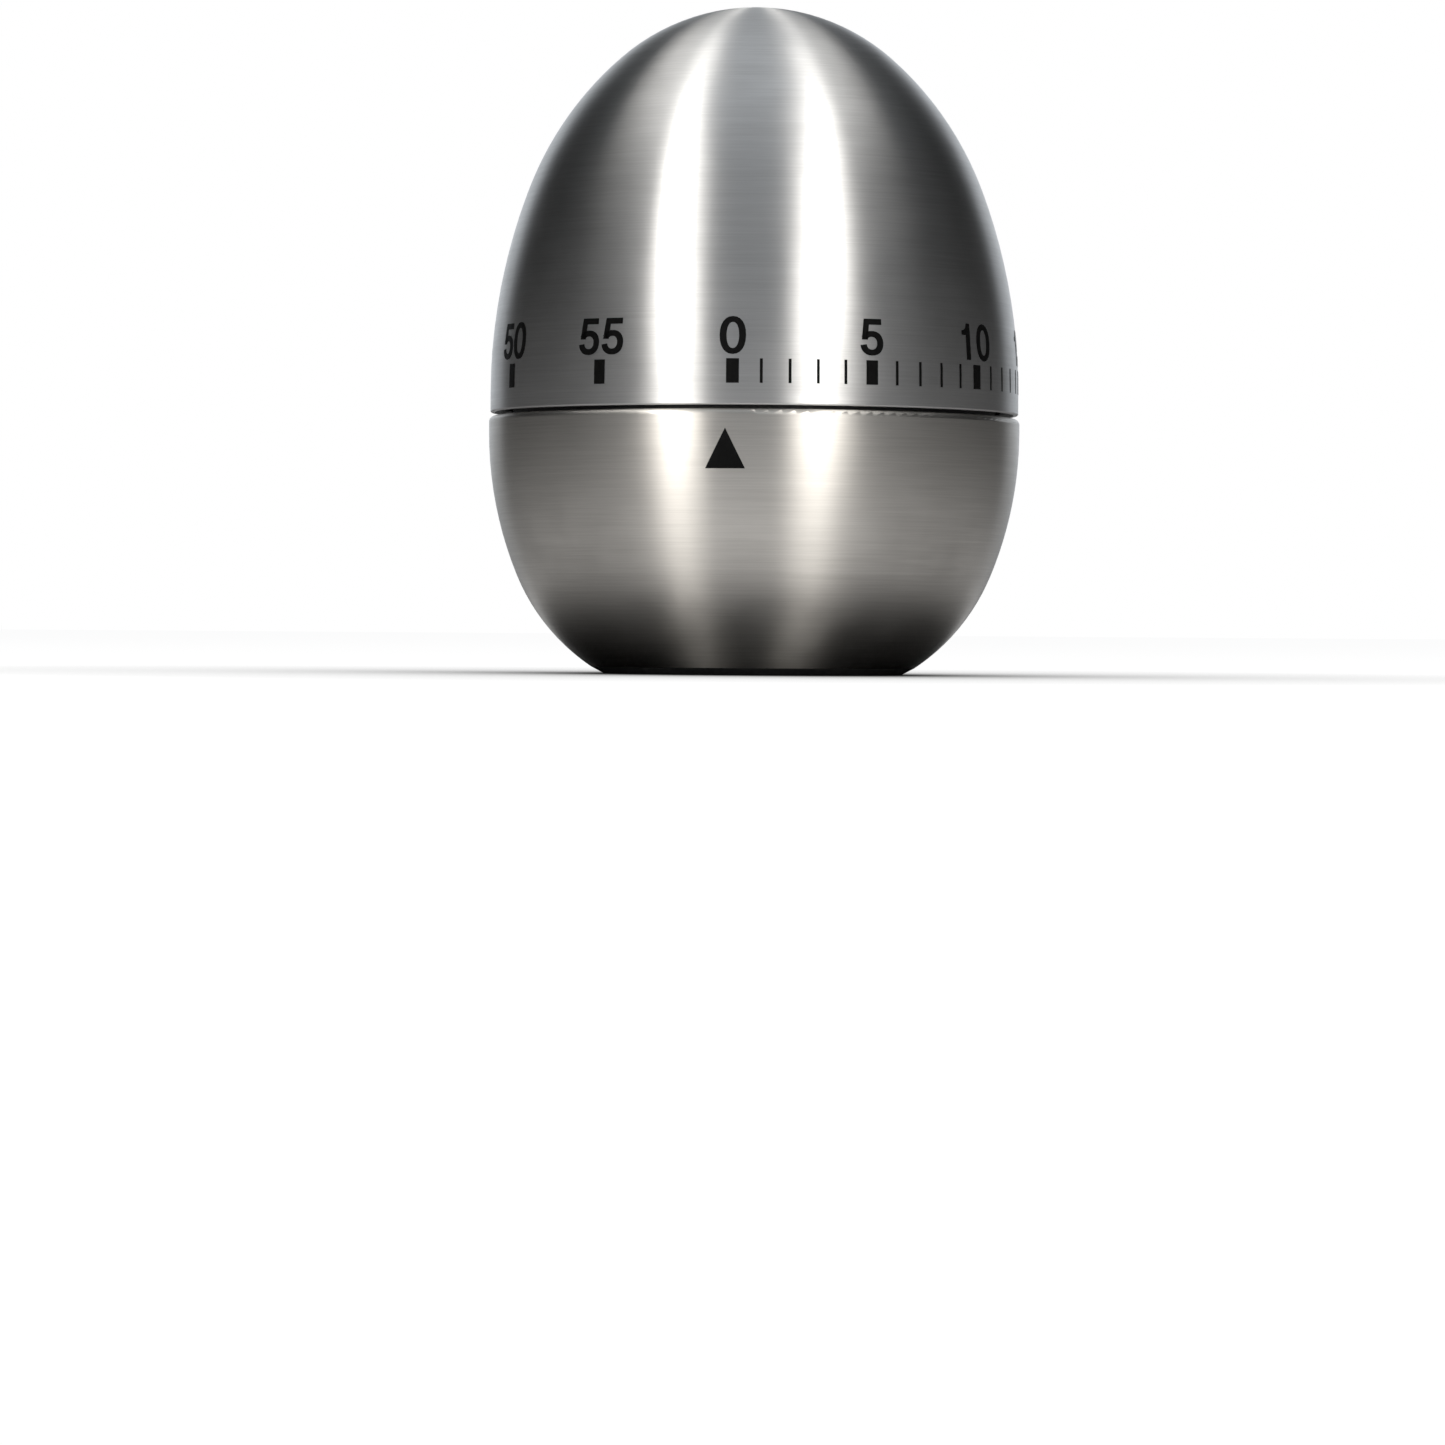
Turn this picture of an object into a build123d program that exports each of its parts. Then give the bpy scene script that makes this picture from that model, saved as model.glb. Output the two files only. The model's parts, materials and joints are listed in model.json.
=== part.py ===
"""An egg-shaped clockwork kitchen timer, 60 mm across and about 75 mm tall, in millimetres.

The steel upper half is the dial: turning it clockwise winds a mainspring, and a gear train,
a pin-lever escapement and a balance let it back to zero, where a hammer strikes the bell.
Z is the turning axis and z = 0 is the table. The front of the timer faces -Y.
"""

import os
from math import acos, asin, atan2, cos, degrees, hypot, pi, radians, sin, tan

from build123d import *

# Steel shells: outline of the lower cup and of the upper cap, as tangent arcs (radius, end angle)
WALL = 0.5
LOWER_R = 30.0
RIM_STEP = 0.15
SPLIT_GAP = 0.4
BELT_DROP = 1.7
BELT_RISE = 2.2
LOWER_ARCS = ((42.3, 22.5), (23.0, 80.0))
UPPER_ARCS = ((65.3, 20.8), (37.2, 48.8))
SHOULDER_R = 0.65
LIP_WIDTH = 0.85
RIM_ROUND = 0.2

# Plastic base, snapped through the hole in the bottom of the cup
FOOT_HEIGHT = 0.8
FOOT_TAPER = 1.5
FOOT_RING_WIDTH = 3.0
FOOT_RECESS = 0.4
BASE_THICK = 1.4
BASE_HOLE_R = 14.5
BASE_CLEAR = 0.2
HOOK_COUNT = 3
HOOK_ARC = 24.0
HOOK_REACH = 0.6
HOOK_THICK = 0.6
HOOK_WALL = 1.4
HOOK_CLEAR = 0.1
SLOT_COUNT = 6
SLOT_RING_R = 8.5
SLOT_WIDTH = 2.0
SLOT_ARC = 32.0

# Plastic liner that carries the movement inside the cup
LINER_CLEAR = 0.15
LINER_WALL = 1.1
LINER_FLOOR = 1.2
COLLAR_INSET = 2.7
COLLAR_WALL = 1.2
COLLAR_RISE = 2.0
LEDGE_WIDTH = 0.9
LEDGE_THICK = 0.7
LINER_HEADROOM = 0.3

# Movement plates, pillars and screws
PLATE_THICK = 1.0
PLATE_MARGIN = 0.5
FASTENER_COUNT = 4
PILLAR_R = 1.1
PILLAR_CLEAR = 0.2
PILLAR_START = 62.0
PILLAR_TENON_R = 0.8
BOSS_R = 2.0
BOSS_CLEAR = 0.8
BOSS_START = 20.0
SCREW_R = 0.75
SCREW_HEAD_R = 1.5
SCREW_HEAD_HEIGHT = 1.0
SCREW_SLOT = 0.35
SCREW_LENGTH = 5.0
SEAT_CLEAR = 0.02
PLATE_HOLE_CLEAR = 0.15

# Arbors and running fits
PIVOT_R = 0.45
PIVOT_CLEAR = 0.03
END_SHAKE = 0.1
ARBOR_R = 0.65
HUB_R = 1.6
HUB_HEIGHT = 0.9

# Gear teeth: stub involute, thinned for backlash
PRESSURE_ANGLE = 25.0
ADDENDUM = 0.75
DEDENDUM = 1.0
BACKLASH = 0.06
WHEEL_THICK = 0.8
PINION_OVERHANG = 0.4

# Going train: tooth counts and modules, from the main wheel to the escape wheel
MAIN_MODULE = 0.31
MAIN_TEETH = 72
SECOND_PINION_TEETH = 9
SECOND_MODULE = 0.22
SECOND_TEETH = 64
SECOND_WINDOW_RING_R = 4.2
SECOND_WINDOW_R = 1.4
THIRD_PINION_TEETH = 8
THIRD_MODULE = 0.22
THIRD_TEETH = 54
THIRD_WINDOW_RING_R = 3.7
THIRD_WINDOW_R = 1.15
TRAIN_WINDOW_COUNT = 5
ESCAPE_PINION_TEETH = 9
SECOND_ANGLE = 0.0
THIRD_RING_R = 12.8
ESCAPE_RING_R = 13.2

# Room between the levels of the movement, from the lower plate up
MAIN_LIFT = 1.1
CLIP_CLEAR = 1.0
ESCAPE_RISE = 1.6
SPRING_CLEAR = 0.8
LEVER_CLEAR = 0.5
HAIRSPRING_CLEAR = 1.1
UPPER_CLEAR = 1.4
COVER_DROP = 0.7

# Main arbor with its slip clutch and mainspring
MAIN_WHEEL_THICK = 1.0
MAIN_ARBOR_R = 2.5
MAIN_PIVOT_R = 1.5
MAIN_PIVOT_LENGTH = 2.5
MAIN_TOP_PIVOT_R = 2.2
MAIN_COLLAR_R = 4.2
MAIN_COLLAR_HEIGHT = 0.7
SQUARE_SIDE = 3.0
SQUARE_LENGTH = 12.0
SOCKET_CLEAR = 0.04
CLUTCH_THICK = 0.3
CLUTCH_R = 6.0
CLUTCH_LEGS = 3
CLUTCH_LEG_WIDTH = 2.4
CLUTCH_HUB_R = 3.6
CLIP_THICK = 0.5
CLIP_GROOVE = 0.4
CLIP_R = 4.0
CLIP_MOUTH = 2.6
MAIN_WINDOW_COUNT = 5
MAIN_WINDOW_WEB = 0.7
SPRING_HEIGHT = 5.0
SPRING_THICK = 0.25
SPRING_PITCH = 0.75
SPRING_TURNS = 7
SPRING_SEAT = 0.05
SPRING_POST_R = 0.8
SPRING_POST_ANGLE = 165.0
SPRING_EYE_WALL = 0.35

# Pin-lever escapement and balance
ESCAPE_TEETH = 15
ESCAPE_R = 4.2
ESCAPE_TOOTH_DEPTH = 1.2
ESCAPE_TIP = 1.6
ESCAPE_UNDERCUT = 1.0
ESCAPE_BACK = 6.0
ESCAPE_REST_PHASE = 6.8
ESCAPE_THICK = 0.6
PALLET_SPAN = 84.0
PALLET_PIN_R = 0.22
PALLET_CLEAR = 0.06
PALLET_PIN_OVERHANG = 0.3
PALLET_ARM_WIDTH = 0.9
PALLET_THICK = 0.8
PALLET_LIFT = 0.3
FORK_LENGTH = 6.0
FORK_TIP = 0.7
FORK_ROOT = 0.6
FORK_HEEL = 1.4
FORK_WALL = 0.5
FORK_CLEAR = 0.12
IMPULSE_R = 2.0
IMPULSE_PIN_R = 0.3
ROLLER_R = 2.5
ROLLER_LIFT = 0.6
ROLLER_THICK = 0.6
PALLET_RING_R = 13.2
BALANCE_RING_R = 13.2
BALANCE_R = 5.4
BALANCE_RIM = 1.1
BALANCE_THICK = 1.1
BALANCE_ARM_WIDTH = 1.0
HAIRSPRING_HEIGHT = 0.8
HAIRSPRING_THICK = 0.12
HAIRSPRING_PITCH = 0.55
HAIRSPRING_TURNS = 4
COLLET_R = 0.95
STUD_SIDE = 0.9

# Strike work: cam, star wheel, hammer and bell
CAM_R = 5.0
CAM_THICK = 1.0
CAM_NOTCH_DEPTH = 1.5
CAM_NOTCH_FROM = -24.0
CAM_NOTCH_TO = 13.0
NOSE_CLEAR = 0.08
NOSE_R = 0.5
NOSE_LENGTH = 2.1
STRIKE_ANGLE = 290.0
STAR_TEETH = 15
STAR_R = 4.0
STAR_DEPTH = 1.1
STAR_TIP = 3.0
STAR_FLANK = 5.5
HAMMER_ANGLE = 250.0
HAMMER_ARBOR_R = 0.8
HAMMER_CLEAR = 1.0
HAMMER_BELL_CLEAR = 0.4
HAMMER_ARM_WIDTH = 1.6
HAMMER_PALLET_R = 0.4
HAMMER_PALLET_CLEAR = 0.12
HAMMER_PALLET_LENGTH = 1.9
HAMMER_SWING = 5.0
HAMMER_HEAD_R = 1.6
HAMMER_HEAD_HEIGHT = 2.4
HAMMER_ARM_LENGTH = 9.0
HAMMER_DROP = 2.2
HAMMER_ARM_THICK = 0.8
HAMMER_STRIKE_GAP = 0.15
BELL_WALL = 0.8
BELL_BOTTOM_Z = 4.0
BELL_HEIGHT = 5.6
BELL_CORNER_R = 2.6
BELL_PLATE_CLEAR = 0.9
BELL_POST_R = 3.4
BELL_SPIGOT_R = 2.6
BELL_SCREW_R = 1.0
BELL_SCREW_HEAD_R = 2.3
BELL_SCREW_HEAD_HEIGHT = 1.0
BELL_SCREW_LENGTH = 3.6

# Dust cover and the dial carrier glued into the upper cap
COVER_THICK = 1.0
COVER_CLEAR = 0.1
COVER_HUB_CLEAR = 2.0
CARRIER_CLEAR = 0.05
CARRIER_RING_WALL = 1.5
CARRIER_RING_HEIGHT = 6.5
CARRIER_RECESS = 0.25
CARRIER_WEB = 1.4
CARRIER_HUB_R = 4.5
CARRIER_HUB_HEIGHT = 9.5
CARRIER_RIB_COUNT = 6
CARRIER_RIB_WIDTH = 1.4
CARRIER_RIB_HEIGHT = 2.6
CARRIER_RISE = 1.6
CARRIER_HUB_DROP = 4.6
STOP_INSET = 3.6
STOP_RADIAL = 2.4
STOP_TRAVEL = 348.0
STOP_CLEAR_DEG = 0.4
STOP_ANGLE = 90.0
STOP_POST_HEIGHT = 2.2
STOP_RUN_GAP = 0.4

# Levels that follow from the sizes above, from the bell up to the split between the shells
PLATE_Z = BELL_BOTTOM_Z + BELL_HEIGHT + BELL_PLATE_CLEAR
PLATE_TOP = PLATE_Z + PLATE_THICK
MAIN_Z = PLATE_TOP + MAIN_LIFT
SPRING_Z = MAIN_Z + MAIN_WHEEL_THICK + CLUTCH_THICK + CLIP_THICK + CLIP_CLEAR
ESCAPE_Z = SPRING_Z + ESCAPE_RISE
SECOND_Z = SPRING_Z + SPRING_HEIGHT + SPRING_CLEAR
BALANCE_Z = SECOND_Z
STRIKE_Z = BALANCE_Z + BALANCE_THICK + LEVER_CLEAR
THIRD_Z = STRIKE_Z + PINION_OVERHANG
HAIRSPRING_Z = BALANCE_Z + BALANCE_THICK + HAIRSPRING_CLEAR
UPPER_PLATE_Z = THIRD_Z + HUB_HEIGHT + UPPER_CLEAR
PLATE_GAP = UPPER_PLATE_Z - PLATE_TOP
UPPER_PLATE_TOP = UPPER_PLATE_Z + PLATE_THICK
LEDGE_TOP = UPPER_PLATE_TOP + SCREW_HEAD_HEIGHT + COVER_DROP
LINER_TOP = LEDGE_TOP
COVER_Z = LEDGE_TOP
COVER_TOP = COVER_Z + COVER_THICK
SPLIT_Z = LINER_TOP + LINER_HEADROOM + WALL
UPPER_RIM_Z = SPLIT_Z + SPLIT_GAP
LOWER_BELT_Z = SPLIT_Z - BELT_DROP
UPPER_BELT_Z = UPPER_RIM_Z + BELT_RISE
COLLAR_TOP = SPLIT_Z + COLLAR_RISE
LINER_Z = FOOT_HEIGHT + WALL
LINER_FLOOR_TOP = LINER_Z + LINER_FLOOR
ARBOR_BOTTOM = PLATE_TOP + END_SHAKE
ARBOR_TOP = UPPER_PLATE_Z - END_SHAKE

# Radii that follow: the strike work clears the main wheel, and the bell, bosses and plates clear it
UPPER_R = LOWER_R - RIM_STEP
COLLAR_R = LOWER_R - COLLAR_INSET
COLLAR_INNER_R = COLLAR_R - COLLAR_WALL
BASE_SPIGOT_R = BASE_HOLE_R - BASE_CLEAR
MAIN_TIP_R = MAIN_MODULE * (MAIN_TEETH / 2 + ADDENDUM)
MAIN_ROOT_R = MAIN_MODULE * (MAIN_TEETH / 2 - DEDENDUM)
MAIN_WINDOW_RING_R = (MAIN_ROOT_R + CLUTCH_R) / 2
MAIN_WINDOW_R = (MAIN_ROOT_R - CLUTCH_R) / 2 - MAIN_WINDOW_WEB
HAMMER_RING_R = MAIN_TIP_R + HAMMER_ARBOR_R + HAMMER_CLEAR
BELL_R = HAMMER_RING_R + HAMMER_ARM_WIDTH / 2 + HAMMER_BELL_CLEAR + BELL_WALL
BOSS_RING_R = BELL_R + BOSS_CLEAR + BOSS_R
PILLAR_RING_R = ESCAPE_RING_R + ESCAPE_R + PILLAR_CLEAR + PILLAR_R
PLATE_R = max(PILLAR_RING_R + PILLAR_R, BOSS_RING_R + SCREW_HEAD_R) + PLATE_MARGIN
COVER_HOLE_R = CARRIER_HUB_R + COVER_HUB_CLEAR
STOP_RING_R = COLLAR_INNER_R - STOP_INSET


def polar(radius, angle):
    """The point at this radius and angle, in degrees, about the timer's axis."""
    return Vector(radius * cos(radians(angle)), radius * sin(radians(angle)))


def bearing(start, end):
    """The direction from one point to another, in degrees."""
    return degrees(atan2(end.Y - start.Y, end.X - start.X))


def level(at, z):
    """A horizontal plane at height z whose origin is above the point."""
    return Plane((at.X, at.Y, z))


def angle_past(radius, ring, distance):
    """Degrees round the axis from a point at radius to one on the ring that lies at this distance."""
    return degrees(acos((radius**2 + ring**2 - distance**2) / (2 * radius * ring)))


def mesh_phase(line, phase, teeth, mate_teeth):
    """The mate's tooth angle that puts its gaps on this gear's teeth, along the line of centres."""
    past_tooth = (line - phase) % (360 / teeth)
    return line + 180 + past_tooth * teeth / mate_teeth + 180 / mate_teeth


def gear(module, teeth, phase):
    """A gear's outline with involute flanks, one tooth centred on the phase angle."""
    pitch_r = module * teeth / 2
    base_r = pitch_r * cos(radians(PRESSURE_ANGLE))
    tip_r = pitch_r + ADDENDUM * module
    root_r = pitch_r - DEDENDUM * module
    flank_r = max(base_r, root_r)

    def half_angle(radius):
        """Degrees from the tooth's middle to its flank at this radius."""
        at_pitch = radians(PRESSURE_ANGLE)
        here = acos(min(1.0, base_r / radius))
        half_pitch = (pi * module / 2 - BACKLASH) / (2 * pitch_r)
        return degrees(half_pitch + (tan(at_pitch) - at_pitch) - (tan(here) - here))

    with BuildSketch(mode=Mode.PRIVATE) as outline:
        with BuildLine():
            for tooth in range(teeth):
                middle = phase + 360 * tooth / teeth
                radii = (flank_r, (flank_r + tip_r) / 2, tip_r)
                rising = [polar(r, middle - half_angle(r)) for r in radii]
                falling = [polar(r, middle + half_angle(r)) for r in reversed(radii)]
                foot = polar(root_r, middle - half_angle(flank_r))
                heel = polar(root_r, middle + half_angle(flank_r))
                next_foot = polar(root_r, middle + 360 / teeth - half_angle(flank_r))
                if flank_r > root_r:
                    Line(foot, rising[0])
                    Line(falling[2], heel)
                ThreePointArc(*rising)
                Line(rising[2], falling[0])
                ThreePointArc(*falling)
                Line(heel, next_foot)
        make_face()
    return outline.sketch


def wall_arcs(radius, belt_z, arcs, rise, inset=0.0):
    """Tangent arcs of a shell's wall from its belt, up (rise 1) or down (rise -1), as
    (centre, radius, start angle, end angle), set in from the outside by inset."""
    found = []
    centre = Vector(radius - arcs[0][0], belt_z)
    start = 0.0
    for index, (arc_radius, end) in enumerate(arcs):
        found.append((centre, arc_radius - inset, rise * start, rise * end))
        if index + 1 < len(arcs):
            step = arc_radius - arcs[index + 1][0]
            centre = centre + Vector(step * cos(radians(end)), rise * step * sin(radians(end)))
        start = end
    return found


def crown_arcs(inset=0.0):
    """The cap's wall arcs, closed by a crown arc whose centre lies on the axis."""
    side = wall_arcs(UPPER_R, UPPER_BELT_Z, UPPER_ARCS, 1)
    centre, last_r, _, end = side[-1]
    crown_r = last_r + centre.X / cos(radians(end))
    return wall_arcs(UPPER_R, UPPER_BELT_Z, (*UPPER_ARCS, (crown_r, 90.0)), 1, inset)


def cup_arcs(inset, end_z):
    """The cup's wall arcs from its belt down to a height."""
    arcs = wall_arcs(LOWER_R, LOWER_BELT_Z, LOWER_ARCS, -1, inset)
    centre, radius, start, _ = arcs[-1]
    arcs[-1] = (centre, radius, start, degrees(asin((end_z - centre.Y) / radius)))
    return arcs


def arc_end(arc):
    """The last point of a wall arc."""
    centre, radius, _, end = arc
    return centre + polar(radius, end)


def draw_arcs(arcs):
    """Adds wall arcs to the current line."""
    for centre, radius, start, end in arcs:
        CenterArc(centre, radius, start, end - start)


def spiral(inner_r, pitch, turns, thick):
    """A flat spiral ribbon of half circles about two centres, and its outer end."""
    halves = []
    for half in range(2 * turns):
        centre = Vector(pitch / 2 * (half % 2), 0)
        halves.append((centre, inner_r + thick / 2 + pitch / 2 * half, 180 * (half % 2)))
    first_r = halves[0][1]
    last_centre, last_r, _ = halves[-1]
    with BuildSketch(mode=Mode.PRIVATE) as ribbon:
        with BuildLine():
            for centre, radius, start in halves:
                CenterArc(centre, radius + thick / 2, start, 180)
                CenterArc(centre, radius - thick / 2, start, 180)
            Line((first_r - thick / 2, 0), (first_r + thick / 2, 0))
            Line(last_centre + Vector(last_r - thick / 2, 0), last_centre + Vector(last_r + thick / 2, 0))
        make_face()
    return ribbon.sketch, last_centre + Vector(last_r, 0)


def save(name, builder):
    """Labels a finished piece and writes it."""
    builder.part.label = name
    export_step(builder.part, f"parts/{name}.step")


def turned_arbor(at, pinion=None, pinion_z=0.0, pinion_length=0.0, radius=ARBOR_R, tail_z=None):
    """An arbor between the plates with a pivot at each end. A tail goes on below the lower plate."""
    foot_z = PLATE_Z + END_SHAKE if tail_z is None else tail_z
    with BuildPart() as turned:
        with BuildSketch(level(at, ARBOR_BOTTOM)):
            Circle(radius)
        extrude(amount=ARBOR_TOP - ARBOR_BOTTOM)
        with BuildSketch(level(at, foot_z)):
            Circle(PIVOT_R)
        extrude(amount=UPPER_PLATE_TOP - foot_z)
        if pinion:
            with BuildSketch(level(at, pinion_z)):
                add(pinion)
            extrude(amount=pinion_length)
    return turned


def wheel(at, z, outline, window_ring, window_r):
    """A stamped wheel with its riveting hub, lightened by round windows, on an arbor."""
    with BuildPart() as stamped:
        with BuildSketch(level(at, z)):
            add(outline)
            with PolarLocations(window_ring, TRAIN_WINDOW_COUNT):
                Circle(window_r, mode=Mode.SUBTRACT)
        extrude(amount=WHEEL_THICK)
        with BuildSketch(level(at, z)):
            Circle(HUB_R)
        extrude(amount=HUB_HEIGHT)
        with BuildSketch(level(at, z)):
            Circle(ARBOR_R + SEAT_CLEAR)
        extrude(amount=HUB_HEIGHT, mode=Mode.SUBTRACT)
    return stamped


def screws(ring, start, seat_z, length, up):
    """Slotted pan-head screws on a ring, heads on the seat and shanks up or down from it."""
    head = SCREW_HEAD_HEIGHT
    with BuildPart() as group:
        with PolarLocations(ring, FASTENER_COUNT, start):
            with Locations((0, 0, seat_z + (-head / 2 if up else head / 2))):
                Cylinder(SCREW_HEAD_R, head)
            with Locations((0, 0, seat_z + (length / 2 if up else -length / 2))):
                Cylinder(SCREW_R, length)
            with Locations((0, 0, seat_z + (-head if up else head))):
                Box(2 * SCREW_HEAD_R, SCREW_SLOT, head, mode=Mode.SUBTRACT)
    return group


os.makedirs("parts", exist_ok=True)

# Lower steel cup: drawn wall, rounded shoulder with a turned-in lip, and a flange round the base hole
cup_outer = cup_arcs(0.0, FOOT_HEIGHT)
cup_inner = cup_arcs(WALL, FOOT_HEIGHT + WALL)
shoulder_z = SPLIT_Z - SHOULDER_R
lip_r = LOWER_R - SHOULDER_R - LIP_WIDTH
with BuildPart() as lower_shell:
    with BuildSketch(Plane.XZ):
        with BuildLine():
            draw_arcs(cup_outer)
            Line((LOWER_R, LOWER_BELT_Z), (LOWER_R, shoulder_z))
            CenterArc((LOWER_R - SHOULDER_R, shoulder_z), SHOULDER_R, 0, 90)
            Polyline(
                (LOWER_R - SHOULDER_R, SPLIT_Z),
                (lip_r, SPLIT_Z),
                (lip_r, SPLIT_Z - WALL),
                (LOWER_R - SHOULDER_R, SPLIT_Z - WALL),
            )
            CenterArc((LOWER_R - SHOULDER_R, shoulder_z), SHOULDER_R - WALL, 0, 90)
            Line((LOWER_R - WALL, shoulder_z), (LOWER_R - WALL, LOWER_BELT_Z))
            draw_arcs(cup_inner)
            Polyline(
                arc_end(cup_inner[-1]),
                (BASE_HOLE_R, FOOT_HEIGHT + WALL),
                (BASE_HOLE_R, FOOT_HEIGHT),
                arc_end(cup_outer[-1]),
            )
        make_face()
    revolve(axis=Axis.Z)
save("lower_shell", lower_shell)

# Upper steel cap: drawn egg crown that is turned as the dial
cap_outer = crown_arcs()
cap_inner = crown_arcs(WALL)
with BuildPart() as upper_shell:
    with BuildSketch(Plane.XZ):
        with BuildLine():
            draw_arcs(cap_outer)
            Line(arc_end(cap_outer[-1]), arc_end(cap_inner[-1]))
            draw_arcs(cap_inner)
            Polyline(
                (UPPER_R - WALL, UPPER_BELT_Z),
                (UPPER_R - WALL, UPPER_RIM_Z),
                (UPPER_R, UPPER_RIM_Z),
                (UPPER_R, UPPER_BELT_Z),
            )
        make_face()
    revolve(axis=Axis.Z)
    rim_edges = upper_shell.edges().filter_by(GeomType.CIRCLE).group_by(Axis.Z)[0]
    fillet(rim_edges.sort_by(SortBy.RADIUS)[-1], RIM_ROUND)
save("upper_shell", upper_shell)

# Base: foot ring on the table, sound slots, and snap hooks over the liner's floor
foot_r = arc_end(cup_outer[-1]).X
hook_z = LINER_FLOOR_TOP + HOOK_CLEAR
hook_r = BASE_SPIGOT_R - HOOK_CLEAR
with BuildPart() as base_plate:
    with BuildSketch(Plane.XZ):
        with BuildLine():
            Polyline(
                (0, 0),
                (foot_r - FOOT_TAPER, 0),
                (foot_r, FOOT_HEIGHT),
                (0, FOOT_HEIGHT),
                close=True,
            )
        make_face()
    revolve(axis=Axis.Z)
    with BuildSketch(Plane.XY.offset(FOOT_HEIGHT)):
        Circle(BASE_SPIGOT_R)
    extrude(amount=BASE_THICK - FOOT_HEIGHT + FOOT_RECESS)
    with BuildSketch():
        Circle(foot_r - FOOT_TAPER - FOOT_RING_WIDTH)
    extrude(amount=FOOT_RECESS, mode=Mode.SUBTRACT)
    with BuildSketch():
        with PolarLocations(0, SLOT_COUNT):
            SlotArc(CenterArc((0, 0), SLOT_RING_R, -SLOT_ARC / 2, SLOT_ARC), SLOT_WIDTH)
    extrude(amount=BASE_THICK + FOOT_RECESS, mode=Mode.SUBTRACT)
    for hook in range(HOOK_COUNT):
        middle = 360 * hook / HOOK_COUNT + 90
        with BuildSketch(Plane.XZ.rotated((0, 0, middle - HOOK_ARC / 2))):
            with BuildLine():
                Polyline(
                    (hook_r - HOOK_WALL, BASE_THICK),
                    (hook_r, BASE_THICK),
                    (hook_r, hook_z),
                    (hook_r + HOOK_REACH, hook_z),
                    (hook_r, hook_z + HOOK_THICK),
                    (hook_r - HOOK_WALL, hook_z + HOOK_THICK),
                    close=True,
                )
            make_face()
        revolve(axis=Axis.Z, revolution_arc=HOOK_ARC)
save("base_plate", base_plate)

# Liner: a moulded cup inside the shell, with bosses under the movement and a collar through the split
liner_outer = cup_arcs(WALL + LINER_CLEAR, LINER_Z)
liner_inner = cup_arcs(WALL + LINER_CLEAR + LINER_WALL, LINER_FLOOR_TOP)
liner_outer_r = LOWER_R - WALL - LINER_CLEAR
liner_inner_r = liner_outer_r - LINER_WALL
ledge_r = COLLAR_INNER_R - LEDGE_WIDTH
with BuildPart() as liner_cavity:
    with BuildSketch(Plane.XZ):
        with BuildLine():
            draw_arcs(liner_inner)
            Polyline(
                (liner_inner_r, LOWER_BELT_Z),
                (liner_inner_r, LEDGE_TOP - LEDGE_THICK),
                (ledge_r, LEDGE_TOP - LEDGE_THICK),
                (ledge_r, LEDGE_TOP),
                (COLLAR_INNER_R, LEDGE_TOP),
                (COLLAR_INNER_R, COLLAR_TOP),
                (0, COLLAR_TOP),
                (0, LINER_Z),
                (BASE_HOLE_R, LINER_Z),
                (BASE_HOLE_R, LINER_FLOOR_TOP),
                arc_end(liner_inner[-1]),
            )
        make_face()
    revolve(axis=Axis.Z)
    with BuildSketch(Plane.XY.offset(LINER_FLOOR_TOP)):
        with PolarLocations(BOSS_RING_R, FASTENER_COUNT, BOSS_START):
            Circle(BOSS_R)
    extrude(amount=PLATE_Z - LINER_FLOOR_TOP, mode=Mode.SUBTRACT)
with BuildPart() as case_liner:
    with BuildSketch(Plane.XZ):
        with BuildLine():
            draw_arcs(liner_outer)
            Polyline(
                (liner_outer_r, LOWER_BELT_Z),
                (liner_outer_r, LINER_TOP),
                (COLLAR_R, LINER_TOP),
                (COLLAR_R, COLLAR_TOP),
                (0, COLLAR_TOP),
                (0, LINER_Z),
                arc_end(liner_outer[-1]),
            )
        make_face()
    revolve(axis=Axis.Z)
    add(liner_cavity.part, mode=Mode.SUBTRACT)
    with BuildSketch(Plane.XY.offset(PLATE_Z)):
        with PolarLocations(BOSS_RING_R, FASTENER_COUNT, BOSS_START):
            Circle(SCREW_R + SEAT_CLEAR)
    extrude(amount=-SCREW_LENGTH, mode=Mode.SUBTRACT)
save("case_liner", case_liner)

# Where the arbors stand, each placed by the centre distance of its mesh
MAIN_AT = Vector(0, 0)
main_distance = MAIN_MODULE * (MAIN_TEETH + SECOND_PINION_TEETH) / 2
second_distance = SECOND_MODULE * (SECOND_TEETH + THIRD_PINION_TEETH) / 2
third_distance = THIRD_MODULE * (THIRD_TEETH + ESCAPE_PINION_TEETH) / 2
pin_ring = ESCAPE_R + PALLET_PIN_R + PALLET_CLEAR
pallet_distance = pin_ring / cos(radians(PALLET_SPAN / 2))
balance_distance = FORK_LENGTH + IMPULSE_R
third_angle = SECOND_ANGLE + angle_past(main_distance, THIRD_RING_R, second_distance)
escape_angle = third_angle + angle_past(THIRD_RING_R, ESCAPE_RING_R, third_distance)
pallet_angle = escape_angle + angle_past(ESCAPE_RING_R, PALLET_RING_R, pallet_distance)
balance_angle = pallet_angle + angle_past(PALLET_RING_R, BALANCE_RING_R, balance_distance)
second_at = polar(main_distance, SECOND_ANGLE)
third_at = polar(THIRD_RING_R, third_angle)
escape_at = polar(ESCAPE_RING_R, escape_angle)
pallet_at = polar(PALLET_RING_R, pallet_angle)
balance_at = polar(BALANCE_RING_R, balance_angle)
strike_at = polar(main_distance, STRIKE_ANGLE)
hammer_at = polar(HAMMER_RING_R, HAMMER_ANGLE)
arbor_places = [second_at, third_at, escape_at, pallet_at, balance_at, strike_at, hammer_at]


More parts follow.
